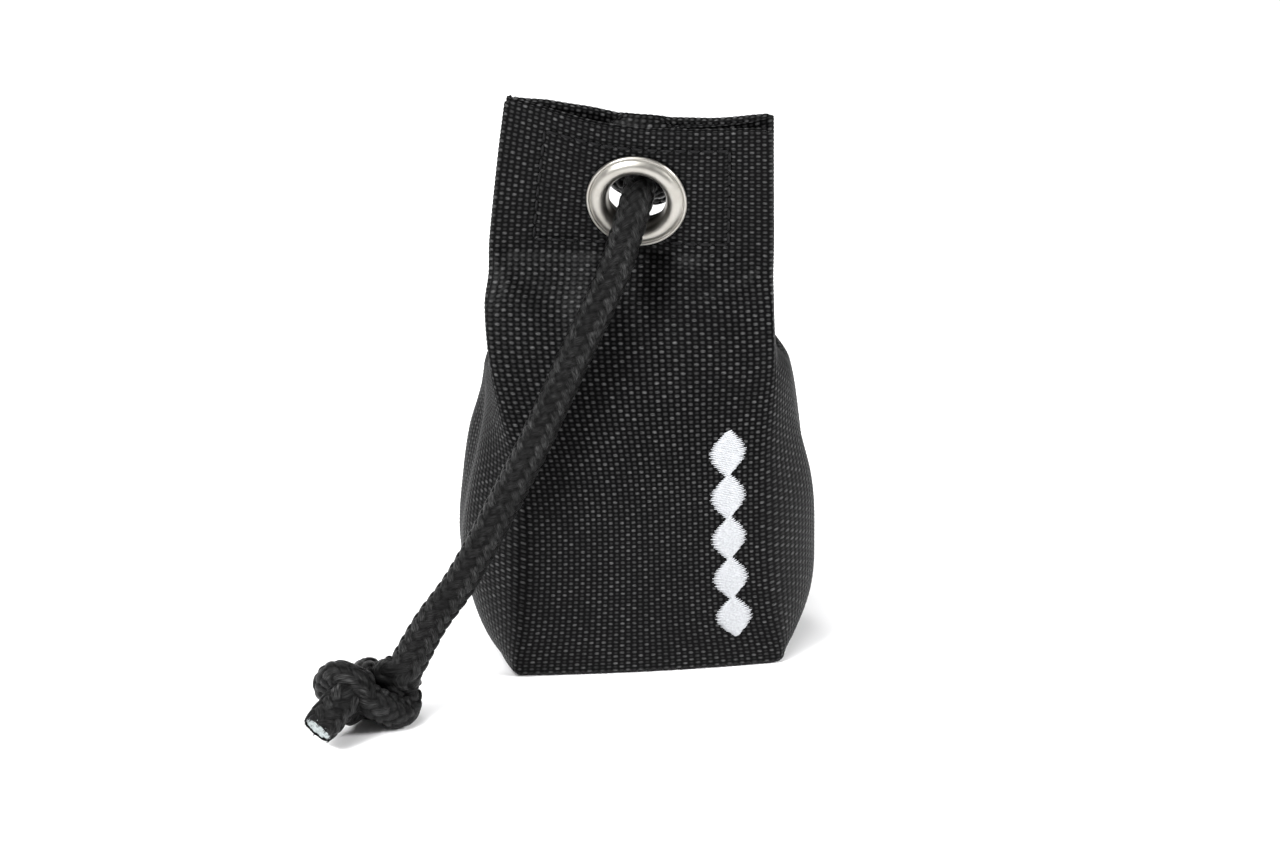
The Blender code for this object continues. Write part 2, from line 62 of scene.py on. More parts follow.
# Camera and light
VIEW_TARGET = Vector((-0.85, -10.5, 50.0)) * MM
VIEW_DISTANCE = 530 * MM
VIEW_AZIMUTH = math.radians(-7.3)
VIEW_ELEVATION = math.radians(18.5)
VIEW_LENS = 73.07
SENSOR_WIDTH = 36.0
WORLD_STRENGTH = 0.22
SUN_STRENGTH = 2.3
SUN_ANGLE = math.radians(45)
SUN_WAY = (0.42, 0.40, -1.0)
LIGHT_AIM = (0, 0, 0.06)
AREA_LIGHTS = (  # name, place, size, power
    ("key", (-0.50, -0.45, 0.55), 0.22, 7.0),
    ("side", (0.70, -0.35, 0.50), 0.22, 8.0),
    ("rim", (-0.35, 0.75, 0.80), 0.5, 5.0),
)
FLOOR_HALF = 4.0

# Linear colours
FLOOR_COLOUR = (0.93, 0.93, 0.935, 1.0)
# The weft is set lighter than the warp as painted light, for the weft's crowns catching the light
WARP_COLOUR = (0.0010, 0.0010, 0.0011)
WEFT_COLOUR = (0.0022, 0.0022, 0.0024)
# CROWN_SHINE is added to the weft's crown colour as a painted highlight
CROWN_SHINE = 0.122
BRAID_COLOUR = (0.008, 0.008, 0.008)
# BRAID_SHINE is added to the braid's light streaks as a painted glint
BRAID_SHINE = 0.075
# Painted shade for the deep grooves between the braid's bundles
GROOVE_PAINTED_SHADE = (0.001, 0.001, 0.001)
CORE_COLOUR = (0.50, 0.55, 0.55)
BLACK_THREAD = (0.006, 0.006, 0.0065)
WHITE_THREAD = (0.50, 0.51, 0.53)
SEAM_THREAD = (0.03, 0.03, 0.032)
LINING_COLOUR = (0.08, 0.08, 0.09)
GRAIN_COLOUR = (0.35, 0.34, 0.32)
NICKEL_DARK = (0.33, 0.315, 0.285)
NICKEL_LIGHT = (0.42, 0.405, 0.375)
# Painted shade for the inside of the eyelet's throat
NICKEL_PAINTED_THROAT_SHADE = (0.10, 0.085, 0.065)

# Pouch, as in the part
BAND_BOTTOM = 88.0 * MM
BAND_TOP = 115.5 * MM
TOP_LEFT_RISE = 4.6 * MM
TOP_MIDDLE_DROP = 1.5 * MM
FRONT_CROWN = 1.2 * MM
BACK_CROWN = 1.0 * MM
HEM_START = BAND_TOP - 1.0 * MM
EDGE_FOLD = 1.2 * MM
TUCK = 17.0 * MM
TUCK_DEPTH = 2.75 * MM
PINCH = 3.8 * MM
PANEL_FOLD = 1.05 * MM
SIDE_FOLD = 0.5 * MM
SIDE_DROPS = {"left": 2.6 * MM, "right": 0.5 * MM}
SIDE_SWELL = 10 * MM
FOLDING = (60 * MM, 87 * MM)
SHELL_START = 1.4 * MM
BOTTOM_RADIUS = 1.25 * MM
BASE_HALF = (27.0 * MM, 19.0 * MM)
BASE_HEIGHT = 0.36 * MM

# Its outline, level by level, in millimetres: height, the x and y of the four corners (front left,
# front right, back right, back left), and how far the left and the right side stand out between them.
LEVELS = np.array((
    (0.3, -28.0, -20.0, 28.0, -20.0, 28.0, 20.0, -28.0, 20.0, 1.5, 1.5),
    (4.0, -27.6, -21.0, 27.2, -21.0, 27.4, 21.0, -27.6, 21.0, 5.2, 6.6),
    (12.0, -26.2, -22.2, 25.0, -22.2, 25.6, 22.2, -26.2, 22.2, 9.6, 11.8),
    (24.0, -25.2, -23.2, 23.4, -23.2, 24.2, 23.5, -25.2, 23.5, 12.8, 14.0),
    (36.0, -25.2, -23.0, 22.9, -23.3, 24.0, 22.7, -25.2, 22.7, 12.2, 14.2),
    (46.0, -26.4, -21.2, 23.0, -22.5, 24.6, 19.6, -26.4, 19.8, 9.4, 12.4),
    (56.0, -29.4, -17.9, 24.0, -20.6, 26.4, 14.6, -27.6, 15.6, 4.4, 8.6),
    (66.0, -31.6, -13.7, 25.2, -18.8, 27.6, 7.8, -28.8, 10.4, 1.6, 3.8),
    (76.0, -32.2, -9.3, 25.4, -17.3, 27.4, 0.2, -29.6, 5.8, 0.0, 0.0),
    (82.0, -31.0, -6.6, 25.1, -16.8, 27.0, -5.4, -29.6, 3.0, 0.0, 0.0),
    (88.0, -30.6, -4.5, 25.0, -17.3, 26.3, -9.9, -29.4, 2.7, 0.0, 0.0),
    (98.0, -29.7, -7.1, 24.4, -19.7, 25.7, -12.3, -28.0, 0.1, 0.0, 0.0),
    (115.5, -27.5, -12.1, 23.2, -24.3, 24.6, -16.9, -25.5, -4.9, 0.0, 0.0),
)) * MM
CORNERS = {"front_left": 1, "front_right": 3, "back_right": 5, "back_left": 7}
MATES = {"front_left": "front_right", "front_right": "front_left",
         "back_right": "back_left", "back_left": "back_right"}
SIDE_ENDS = {
    "front": ("front_left", "front_right"),
    "right": ("front_right", "back_right"),
    "back": ("back_right", "back_left"),
    "left": ("back_left", "front_left"),
}
STAND_OUT = {"left": 9, "right": 10}

# Weave: how many warp yarns each side has, and the mesh steps in each yarn
WARPS = {"front": 42, "right": 38, "back": 42, "left": 38}
WARP_STEPS = 4
WEFT_STEPS = 3
WEFT_PITCH = 0.86 * MM
YARN_RISE = 0.10 * MM
YARN_HALF = 0.16 * MM
WEAVE_UV_SCALE = 0.01
BOTTOM_ROWS, FOLD_ROWS, HEM_ROWS = 12, 11, 30

# Pull folds: side, the x and z of both ends in millimetres, width and depth (outwards is positive)
FOLDS = (
    ("front", (-1.0, 88.0), (3.5, 64.0), 4.6, -2.3),
    ("front", (11.0, 82.0), (19.0, 66.0), 6.5, 2.0),
    ("front", (26.0, 86.5), (11.0, 80.0), 1.8, -1.0),
    ("front", (27.0, 82.5), (14.0, 76.5), 2.6, 0.9),
    ("front", (-30.0, 85.0), (-17.0, 77.5), 2.2, -0.5),
    ("front", (-29.0, 80.0), (-18.0, 70.0), 3.6, 1.0),
    ("front", (-9.0, 86.0), (-13.0, 70.0), 3.4, 1.1),
    ("back", (2.0, 87.0), (-2.0, 66.0), 4.8, -1.8),
    ("back", (-26.0, 86.0), (-10.0, 79.0), 2.2, -0.7),
    ("back", (26.0, 85.0), (12.0, 76.0), 2.4, -0.7),
    ("back", (14.0, 80.0), (20.0, 62.0), 5.5, 0.9),
)

# Sewing
STITCH_PARTS = (0.145, 0.855)
STITCH_HEIGHTS = (BAND_BOTTOM + 1.0 * MM, BAND_TOP - 4.4 * MM)
STITCH_LENGTH = 2.9 * MM
STITCH_GAP = 0.55 * MM
BAND_WIDTH = 55 * MM
MARK_HEIGHTS = (8.0 * MM, 52.0 * MM)
MARK_PART = 0.845
MARK_LOZENGES = 5
MARK_PITCH = 0.36 * MM
MARK_SLANT = 0.35 * MM
PANEL_WIDTH = 48 * MM

# Eyelet, as in the part
EYELET_PART = 0.514
EYELET_HEIGHT = 99.1 * MM
EYELET_RADIUS = 10.0 * MM
EYELET_BORE = 5.6 * MM
BARREL_END = 7.0 * MM
CLOTH_HOLE = 7.3 * MM
BAND_STACK = 7.4 * MM
SQUEEZE = 3.4 * MM
WASHER_THICKNESS = 1.0 * MM
GAP = 0.3 * MM

# Cord: the route is the part's own, without its last two points and with the last one here moved
# a little to the left, because the knot's own line takes over from there
CORD_DIAMETER = 6.7 * MM
CORD_CARRIERS = 16
BRAID_LAY = 2.45 * MM
TAIL_ROUTE = np.array((
    (-7.0, -19.5, 85.5),
    (-10.6, -21.1, 78.4),
    (-15.0, -22.9, 70.2),
    (-19.4, -24.7, 61.4),
    (-23.9, -26.5, 52.7),
    (-29.0, -28.6, 43.8),
    (-34.6, -30.9, 34.3),
    (-40.0, -33.1, 26.0),
    (-45.6, -35.5, 19.4),
)) * MM
CORD_SIDES = 72
CORD_STEP = 0.2 * MM
BUNDLE_RISE = 0.30 * MM
BUNDLE_HALF = 0.42 * MM
CORE_RINGS = ((0.0, 1), (1.0, 6), (2.0, 12), (3.0, 19))
CORE_PITCH = 0.82 * MM
CORE_FILAMENT = 1.2 * MM
CORE_DEPTH = 2.4 * MM
FRAY_COUNT = 34
FRAY_RADIUS = 3.05 * MM
PRESS_START = 0.8 * MM

# Knots: the stopper behind the band, and the end knot on the floor, whose strands keep KNOT_TIGHT of
# the cord's width between them and are pressed KNOT_WIDE wider and KNOT_FLAT flatter
STOPPER_DEPTH = 17.0 * MM
STOPPER_LEAD = 8.5 * MM
STOPPER_DROP = 1.0 * MM
STOPPER_STUB = 3.0 * MM
STOPPER_FACING = np.array((1.0, 0.0, 0.0))
KNOT_TIGHT = 0.84
KNOT_WIDE = 0.45
KNOT_FLAT = 0.12
KNOT_CENTRE = np.array((-54.5, -43.2, 4.9)) * MM
KNOT_SIDEWAYS = np.array((0.992, -0.127, 0.0))
KNOT_LOWEST = 2.8 * MM
KNOT_WAY = np.array((0.65, 0.42, 0.63))
KNOT_FACING = np.array((0.576, -0.814, -0.053))
KNOT_SIZE = 0.95
KNOT_SPAN = 22.0 * MM
LOOP_TUCK = np.array((2.2, -0.3, 1.6)) * MM
STUB_BEND = np.array((-2.0, 1.2, 7.0)) * MM
LEAD_BEND = np.array((-3.2, -0.8, 0.3)) * MM
STUB_END = np.array((-68.4, -51.0, 4.9)) * MM


# ---------------------------------------------------------------- small tools

def unit(vectors):
    return vectors / np.maximum(np.linalg.norm(vectors, axis=-1, keepdims=True), 1e-12)


def smoothstep(low, high, value):
    part = np.clip((value - low) / (high - low), 0, 1)
    return part * part * (3 - 2 * part)


def bell(centre, width, value):
    return np.exp(-(((value - centre) / width) ** 2))


def even_line(points, count):
    """The same line with its points spread evenly."""
    walked = np.r_[0, np.cumsum(np.linalg.norm(np.diff(points, axis=0), axis=1))]
    places = np.linspace(0, walked[-1], count)
    return np.stack([np.interp(places, walked, points[:, k]) for k in range(3)], 1)


def line_length(points):
    return float(np.linalg.norm(np.diff(points, axis=0), axis=1).sum())


def curve_through(points, steps=16):
    """A smooth curve through the points, which a Catmull-Rom spline makes."""
    ends = np.vstack([2 * points[0] - points[1], points, 2 * points[-1] - points[-2]])
    part = (np.arange(steps) / steps)[:, None]
    pieces = []
    for before, here, after, beyond in zip(ends, ends[1:], ends[2:], ends[3:]):
        pieces.append(0.5 * (
            2 * here + (after - before) * part
            + (2 * before - 5 * here + 4 * after - beyond) * part ** 2
            + (3 * here - before - 3 * after + beyond) * part ** 3
        ))
    return np.vstack(pieces + [points[-1:]])


def softened(points, rounds):
    """The line with its kinks worked out and its ends kept."""
    line = points.copy()
    for _ in range(rounds):
        line[1:-1] = 0.25 * line[:-2] + 0.5 * line[1:-1] + 0.25 * line[2:]
    return line


def add_object(name, points, faces, material, uv=None, smooth=True):
    """A mesh of quads from arrays; uv holds a pair for each corner of each face."""
    mesh = bpy.data.meshes.new(name)
    mesh.vertices.add(len(points))
    mesh.vertices.foreach_set("co", np.asarray(points, np.float32).ravel())
    mesh.loops.add(faces.size)
    mesh.loops.foreach_set("vertex_index", faces.astype(np.int32).ravel())
    mesh.polygons.add(len(faces))
    mesh.polygons.foreach_set("loop_start", np.arange(0, faces.size, faces.shape[1], dtype=np.int32))
    mesh.update(calc_edges=True)
    if uv is not None:
        layer = mesh.uv_layers.new(name="weave")
        layer.data.foreach_set("uv", np.asarray(uv, np.float32).ravel())
    if smooth:
        mesh.shade_smooth()
    mesh.materials.append(material)
    obj = bpy.data.objects.new(name, mesh)
    bpy.context.collection.objects.link(obj)
    return obj


def grid_faces(rows, columns, wrap=False):
    """The quads of a grid of points, row by row; a wrapped grid joins its last column to its first."""
    across = columns if wrap else columns - 1
    row, column = np.meshgrid(np.arange(rows - 1), np.arange(across), indexing="ij")
    beside = (column + 1) % columns
    corners = (row * columns + column, row * columns + beside,
               (row + 1) * columns + beside, (row + 1) * columns + column)
    return np.stack(corners, -1).reshape(-1, 4)


def grid_uv(along, up, wrap_to=None):
    """The corner coordinates of a grid's quads, from the value of each column and of each row."""
    right = np.append(along[1:], wrap_to) if wrap_to is not None else along[1:]
    left = along if wrap_to is not None else along[:-1]
    low, high = up[:-1, None], up[1:, None]
    left, right = left[None], right[None]
    shape = (len(up) - 1, left.shape[1])
    corners = [np.stack(np.broadcast_arrays(x, y), -1)
               for x, y in ((left, low), (right, low), (right, high), (left, high))]
    return np.stack([c.reshape(*shape, 2) for c in corners], 2).reshape(-1, 2)


# ---------------------------------------------------------------- materials

class Nodes:
    """Short names for the nodes of one material."""

    def __init__(self, name, roughness=0.6, metallic=0.0, **sockets):
        self.made = bpy.data.materials.new(name)
        self.made.use_nodes = True
        self.tree = self.made.node_tree
        self.shader = self.tree.nodes["Principled BSDF"]
        self.shader.inputs["Roughness"].default_value = roughness
        self.shader.inputs["Metallic"].default_value = metallic
        for socket, value in sockets.items():
            self.shader.inputs[socket.replace("_", " ")].default_value = value

    def add(self, kind, inputs=(), **settings):
        node = self.tree.nodes.new(kind)
        for key, value in settings.items():
            setattr(node, key, value)
        for place, value in enumerate(inputs):
            if value is None:
                continue
            if isinstance(value, bpy.types.NodeSocket):
                self.tree.links.new(value, node.inputs[place])
            else:
                node.inputs[place].default_value = value
        return node

    def math(self, operation, first, second=None):
        return self.add("ShaderNodeMath", (first, second), operation=operation).outputs[0]

    def noise(self, vector, scale, detail=3.0, rough=0.55):
        node = self.add("ShaderNodeTexNoise")
        self.tree.links.new(vector, node.inputs["Vector"])
        node.inputs["Scale"].default_value = scale
        node.inputs["Detail"].default_value = detail
        node.inputs["Roughness"].default_value = rough
        return node.outputs["Fac"]

    def stretched(self, vector, scale):
        node = self.add("ShaderNodeMapping")
        self.tree.links.new(vector, node.inputs["Vector"])
        node.inputs["Scale"].default_value = scale
        return node.outputs[0]

    def ramp(self, value, low, high, new_low=0.0, new_high=1.0):
        node = self.add("ShaderNodeMapRange", (value, low, high, new_low, new_high))
        node.clamp = True
        return node.outputs[0]

    def blend(self, share, first, second):
        node = self.add("ShaderNodeMix", data_type="RGBA")
        for place, value in ((0, share), (6, first), (7, second)):
            if isinstance(value, bpy.types.NodeSocket):
                self.tree.links.new(value, node.inputs[place])
            elif place == 0:
                node.inputs[0].default_value = value
            else:
                node.inputs[place].default_value = (*value, 1.0)
        return node.outputs[2]

    def either(self, share, first, second):
        """The first value where the share is 0, and the second where it is 1."""
        node = self.add("ShaderNodeMix", (share, None, first, second), data_type="FLOAT")
        return node.outputs[0]

    def lot(self, first, second):
        """A value drawn anew for each pair of whole numbers."""
        cell = self.add("ShaderNodeCombineXYZ", (first, second, 0.0)).outputs[0]
        return self.add("ShaderNodeTexWhiteNoise", (cell,), noise_dimensions="2D").outputs[0]

    def uv(self):
        return self.add("ShaderNodeUVMap", uv_map="weave").outputs[0]

    def place(self):
        return self.add("ShaderNodeTexCoord").outputs["Object"]

    def split(self, vector):
        node = self.add("ShaderNodeSeparateXYZ", (vector,))
        return node.outputs[0], node.outputs[1]

    def finish(self, colour=None, rough=None, bumps=()):
        """Links colour and roughness, and stacks bumps of (height, strength, distance)."""
        if colour is not None:
            self.tree.links.new(colour, self.shader.inputs["Base Color"])
        if rough is not None:
            self.tree.links.new(rough, self.shader.inputs["Roughness"])
        normal = None
        for height, strength, distance in bumps:
            node = self.add("ShaderNodeBump")
            node.inputs["Strength"].default_value = strength
            node.inputs["Distance"].default_value = distance
            self.tree.links.new(height, node.inputs["Height"])
            if normal is not None:
                self.tree.links.new(normal, node.inputs["Normal"])
            normal = node.outputs[0]
        if normal is not None:
            self.tree.links.new(normal, self.shader.inputs["Normal"])
        return self.made


def woven_material(name, warp_colour, weft_colour, roughness):
    """Plain-woven multifilament cloth: painted highlights on the weft's crowns and faint ones on the warp's,
    the weft set lighter than the warp as painted light, large darker patches that are partly wear and partly
    painted sheen, and filaments in each yarn.
    """
    n = Nodes(name, roughness, Specular_IOR_Level=0.045)
    yarns = n.stretched(n.uv(), (1 / WEAVE_UV_SCALE, 1 / WEAVE_UV_SCALE, 1.0))
    x, y = n.split(yarns)
    crossing = n.math("MULTIPLY", n.math("SINE", n.math("MULTIPLY", x, math.pi)),
                      n.math("SINE", n.math("MULTIPLY", y, math.pi)))
    on_top = n.ramp(crossing, -0.25, 0.35)
    weft_hair = n.noise(n.stretched(yarns, (1.3, 11.0, 1.0)), 1.0, 2.0)
    warp_hair = n.noise(n.stretched(yarns, (11.0, 1.3, 1.0)), 1.0, 2.0)
    hair = n.either(on_top, warp_hair, weft_hair)
    wear_and_sheen = n.noise(n.place(), 90.0, 4.0)
    lot = n.lot(n.math("FLOOR", x), n.math("FLOOR", y))
    # Painted highlight on the weft's crowns: the crown mask, varied per crossing and along the filaments,
    # lifts the colour towards a light tone
    crown = n.math("MULTIPLY", n.ramp(crossing, 0.25, 0.9), n.ramp(lot, 0.0, 1.0, 0.35, 1.0))
    # Painted light: where the weft lies on top the colour takes the lighter weft tone, as its crowns catch
    # the light
    colour = n.blend(on_top, warp_colour, weft_colour)
    light = tuple(min(1.0, 4.0 * c + CROWN_SHINE) for c in weft_colour)
    colour = n.blend(n.math("MULTIPLY", crown, n.ramp(hair, 0.35, 0.65, 0.1, 1.0)), colour, light)
    # Painted highlight, faint, on the warp's crowns
    colour = n.blend(n.ramp(crossing, -0.4, -0.95, 0.0, 0.12), colour, light)
    # Large darker patches: partly wear, and partly painted sheen patches
    colour = n.blend(n.ramp(wear_and_sheen, 0.35, 0.75, 0.0, 0.35), colour, tuple(0.45 * c for c in weft_colour))
    rough = n.ramp(hair, 0.3, 0.75, roughness + 0.1, roughness - 0.1)
    return n.finish(colour, rough, ((crossing, 0.25, 0.10 * MM), (hair, 0.5, 0.05 * MM)))


def braid_material(name, colour, roughness):
    """Glossy flat bundles of filament, each streaked along its own run, with painted glints on the light
    streaks, and painted shade on one family, on random bundles and in the grooves between bundles.
    """
    n = Nodes(name, roughness, Specular_IOR_Level=0.05)
    x, y = n.split(n.uv())
    depth = n.add("ShaderNodeAttribute", attribute_name="depth").outputs["Fac"]
    family = n.add("ShaderNodeAttribute", attribute_name="family").outputs["Fac"]
    first = n.math("SUBTRACT", x, y)
    second = n.math("ADD", x, y)

    def streaks(across, along):
        vector = n.add("ShaderNodeCombineXYZ", (n.math("MULTIPLY", across, 16.0),
                                                n.math("MULTIPLY", along, 1.1), 0.0)).outputs[0]
        return n.noise(vector, 1.0, 3.0, 0.6)

    streak = n.either(n.ramp(family, 0.4, 0.6), streaks(first, second), streaks(second, first))
    dark = tuple(0.3 * c for c in colour)
    light = tuple(min(1.0, 3.0 * c + BRAID_SHINE) for c in colour)
    tone = n.blend(n.ramp(streak, 0.35, 0.65), dark, colour)
    # Painted glints on the bright streaks of the bundles
    tone = n.blend(n.ramp(streak, 0.45, 0.75, 0.0, 0.95), tone, light)
    # Painted shade: the first family of bundles is set darker, as if only the other family caught the light
    tone = n.blend(n.ramp(family, 0.4, 0.6, 0.62, 0.0), tone, dark)
    # Painted shade: bundles darkened at random, standing for how differently each bundle's fibres catch the
    # light
    lot = n.lot(n.math("ROUND", first), n.math("ROUND", second))
    tone = n.blend(n.ramp(lot, 0.0, 1.0, 0.0, 0.6), tone, dark)
    # Painted shade in the grooves between bundles, from the relief depth
    tone = n.blend(n.ramp(depth, 0.25, 0.95, 0.95, 0.0), tone, GROOVE_PAINTED_SHADE)
    rough = n.ramp(streak, 0.3, 0.7, roughness + 0.12, roughness - 0.08)
    return n.finish(tone, rough, ((streak, 0.8, 0.16 * MM),))


def thread_material(name, colour, roughness):
    """Twisted sewing thread."""
    n = Nodes(name, roughness, Specular_IOR_Level=0.15)
    x, y = n.split(n.uv())
    twist = n.math("SINE", n.math("MULTIPLY", n.math("ADD", x, n.math("MULTIPLY", y, 2.0)), 2 * math.pi))
    hair = n.noise(n.place(), 2600.0, 2.0)
    tone = n.blend(n.ramp(hair, 0.3, 0.7), tuple(0.72 * c for c in colour), colour)
    return n.finish(tone, n.ramp(hair, 0.3, 0.7, roughness + 0.08, roughness - 0.08),
                    ((twist, 0.35, 0.06 * MM), (hair, 0.3, 0.03 * MM)))


def nickel_material():
    """Satin nickel plate, cloudy and finely grained, with painted shade inside the rim towards the throat."""
    n = Nodes("satin_nickel", 0.26, 1.0)
    place = n.place()
    cloudy = n.noise(place, 260.0, 4.0)
    fine = n.noise(place, 2400.0, 3.0)
    _, around = n.split(n.uv())
    tone = n.blend(n.ramp(cloudy, 0.3, 0.7), NICKEL_DARK, NICKEL_LIGHT)
    # Painted shade towards the throat, where the inside of the eyelet lies in shade
    tone = n.blend(n.ramp(around, 0.44, 0.54, 0.0, 0.85), tone, NICKEL_PAINTED_THROAT_SHADE)
    rough = n.ramp(n.math("ADD", cloudy, fine), 0.7, 1.3, 0.30, 0.44)
    return n.finish(tone, rough, ((fine, 0.10, 0.02 * MM), (cloudy, 0.12, 0.06 * MM)))


def grainy_material(name, colour, roughness, scale, depth):
    """A plain stuff with a fine grain in its tone, gloss and surface."""
    n = Nodes(name, roughness, Specular_IOR_Level=0.15)
    grain = n.noise(n.place(), scale, 4.0, 0.6)
    tone = n.blend(n.ramp(grain, 0.3, 0.7), tuple(0.6 * c for c in colour), colour)
    return n.finish(tone, n.ramp(grain, 0.3, 0.7, roughness + 0.05, roughness - 0.1), ((grain, 0.6, depth),))


# ---------------------------------------------------------------- camera, floor and light

def make_camera():
    data = bpy.data.cameras.new("camera")
    data.sensor_width = SENSOR_WIDTH
    data.lens = VIEW_LENS
    data.clip_start, data.clip_end = 0.01, 50.0
    camera = bpy.data.objects.new("camera", data)
    level = math.cos(VIEW_ELEVATION)
    back = Vector((math.sin(VIEW_AZIMUTH) * level, -math.cos(VIEW_AZIMUTH) * level, math.sin(VIEW_ELEVATION)))
    camera.location = VIEW_TARGET + back * VIEW_DISTANCE
    camera.rotation_euler = (-back).to_track_quat("-Z", "Y").to_euler()
    bpy.context.collection.objects.link(camera)
    bpy.context.scene.camera = camera


def make_floor():
    corners = np.array(((-1, -1, 0), (1, -1, 0), (1, 1, 0), (-1, 1, 0))) * FLOOR_HALF
    n = Nodes("pale_floor", 0.85)
    n.shader.inputs["Base Color"].default_value = FLOOR_COLOUR
    floor = add_object("floor", corners, np.array([[0, 1, 2, 3]]), n.made, smooth=False)


def area_light(name, place, size, power):
    data = bpy.data.lights.new(name, "AREA")
    data.size = size
    data.energy = power
    light = bpy.data.objects.new(name, data)
    light.location = place
    light.rotation_euler = (Vector(LIGHT_AIM) - Vector(place)).to_track_quat("-Z", "Y").to_euler()
    bpy.context.collection.objects.link(light)


def make_light():
    world = bpy.data.worlds.new("studio")
    world.use_nodes = True
    background = world.node_tree.nodes["Background"]
    background.inputs["Color"].default_value = (1.0, 1.0, 1.0, 1.0)
    background.inputs["Strength"].default_value = WORLD_STRENGTH
    bpy.context.scene.world = world
    for light in AREA_LIGHTS:
        area_light(*light)
    data = bpy.data.lights.new("overhead", "SUN")
    data.energy, data.angle = SUN_STRENGTH, SUN_ANGLE
    overhead = bpy.data.objects.new("overhead", data)
    overhead.rotation_euler = Vector(SUN_WAY).to_track_quat("-Z", "Y").to_euler()
    bpy.context.collection.objects.link(overhead)
    bpy.context.scene.view_settings.view_transform = "Standard"


# ---------------------------------------------------------------- the pouch's surface

def level_curve(columns, height):
    """Columns of LEVELS at any heights, on a smooth curve through the levels."""
    heights, values = LEVELS[:, 0], LEVELS[:, columns]
    if values.ndim == 1:
        values = values[:, None]
    last = len(heights) - 1
    low, high = np.maximum(np.arange(last + 1) - 1, 0), np.minimum(np.arange(last + 1) + 1, last)
    slope = (values[high] - values[low]) / (heights[high] - heights[low])[:, None]
    place = np.clip(np.searchsorted(heights, height, side="right") - 1, 0, last - 1)
    span = (heights[place + 1] - heights[place])[..., None]
    part = (height - heights[place])[..., None] / span
    square, cube = part * part, part * part * part
    return (values[place] * (2 * cube - 3 * square + 1) + slope[place] * span * (cube - 2 * square + part)
            + values[place + 1] * (3 * square - 2 * cube) + slope[place + 1] * span * (cube - square))


def lifted(flat, height, rear):
    """Heights with the band's top edge: it climbs to the left, dips in front and stands higher behind."""
    x = flat[..., 0]
    share = smoothstep(BAND_BOTTOM, BAND_TOP, height)
    climb = TOP_LEFT_RISE * np.maximum(0.0, -x / (27 * MM)) ** 1.5 - TOP_MIDDLE_DROP
    front = -1.0 * MM * smoothstep(-24 * MM, -8 * MM, x) + 0.6 * MM * smoothstep(8 * MM, 24 * MM, x)
    back = 0.8 * MM + 1.2 * MM * smoothstep(12 * MM, 26 * MM, x)
    back = back + 0.9 * MM * smoothstep(-26 * MM, -18 * MM, x) * (1 - smoothstep(-12 * MM, 0, x))
    return height + share * (climb + front * (1 - rear) + back * rear)


def corner(name, height):
    """A corner of the pouch at each height, set in a little where the band folds round it."""
    place, mate = (CORNERS[key] for key in (name, MATES[name]))
    spot, other = level_curve(slice(place, place + 2), height), level_curve(slice(mate, mate + 2), height)
    inset = 0.9 * EDGE_FOLD * smoothstep(*FOLDING, height)[..., None]
    return spot + unit(other - spot) * inset


def pinch(height):
    """How far the band's rear layers are drawn forward at its left end."""
    front, back = (corner(name, height) for name in ("front_left", "back_left"))
    return unit(front - back) * PINCH * smoothstep(95 * MM, BAND_TOP, height)[..., None]


def panel_points(side, part, height):
    """The outer face of the front or the back panel."""
    start, end = (corner(name, height) for name in SIDE_ENDS[side])
    chord = unit(end - start)
    crown = FRONT_CROWN if side == "front" else BACK_CROWN
    crown = crown * (1 - smoothstep(BAND_BOTTOM - 20 * MM, BAND_BOTTOM, height)) * np.sin(math.pi * part)
    flat = start + (end - start) * part[..., None]
    flat = flat + np.stack([chord[..., 1], -chord[..., 0]], -1) * crown[..., None]
    if side == "back":
        flat = flat + pinch(height) * smoothstep(0.55, 1.0, part)[..., None]
    return np.dstack([flat, lifted(flat, height, float(side == "back"))])


def tucked(near, total):
    """A side's folded path in the band, from its near edge: how deep it lies, and how far out."""
    edge, run = 0.074, 0.44
    turn = np.pi * np.clip(near / edge, 0, 1)
    part = np.clip((near - edge) / (run - edge), 0, 1)
    bend = np.pi / 2 * np.clip((near - run) / (0.5 - run), 0, 1)
    hollow = total / 2 - TUCK_DEPTH
    deep = np.where(near < edge, EDGE_FOLD * (1 - np.cos(turn)),
                    2 * EDGE_FOLD + (TUCK_DEPTH - 2 * EDGE_FOLD) * part + hollow * (1 - np.cos(bend)))
    reach = np.where(near < edge, EDGE_FOLD * np.sin(turn), -TUCK * part - hollow * np.sin(bend))
    return deep, reach


def side_points(side, part, height):
    """A gusseted side: two soft lobes with a valley between, which folds inwards under the band."""
    start, end = (corner(name, height) for name in SIDE_ENDS[side])
    if side == "left":
        start = start + pinch(height)
    ways = [corner(front, height) - corner(MATES[front], height) for front in ("front_right", "back_right")]
    outward = unit(unit(ways[0]) + unit(ways[1])) * (1 if side == "right" else -1)
    rear = part if side == "right" else 1 - part
    bulge = level_curve(STAND_OUT[side], height)[..., 0]
    valley = 0.06 + 0.22 * smoothstep(14 * MM, 52 * MM, height)
    lobes = np.sin(np.pi * part) ** 0.8 * (1 - valley * bell(0.5, 0.12, part)) * 1.04
    lobes *= 1 - 0.16 * bell(52 * MM, 12 * MM, height) * (1 - smoothstep(0.4, 0.6, rear))
    low = start + (end - start) * part[..., None] + outward * (bulge * lobes)[..., None]
    total = np.linalg.norm(end - start, axis=-1)
    near = np.minimum(part, 1 - part)
    deep, reach = tucked(near, BAND_STACK)
    deep = np.where(part <= 0.5, deep, BAND_STACK - deep) * total / BAND_STACK
    high = start + unit(end - start) * deep[..., None] + outward * reach[..., None]
    fold = smoothstep(*FOLDING, height)[..., None]
    flat = low * (1 - fold) + high * fold
    return np.dstack([flat, lifted(flat, height, rear)])


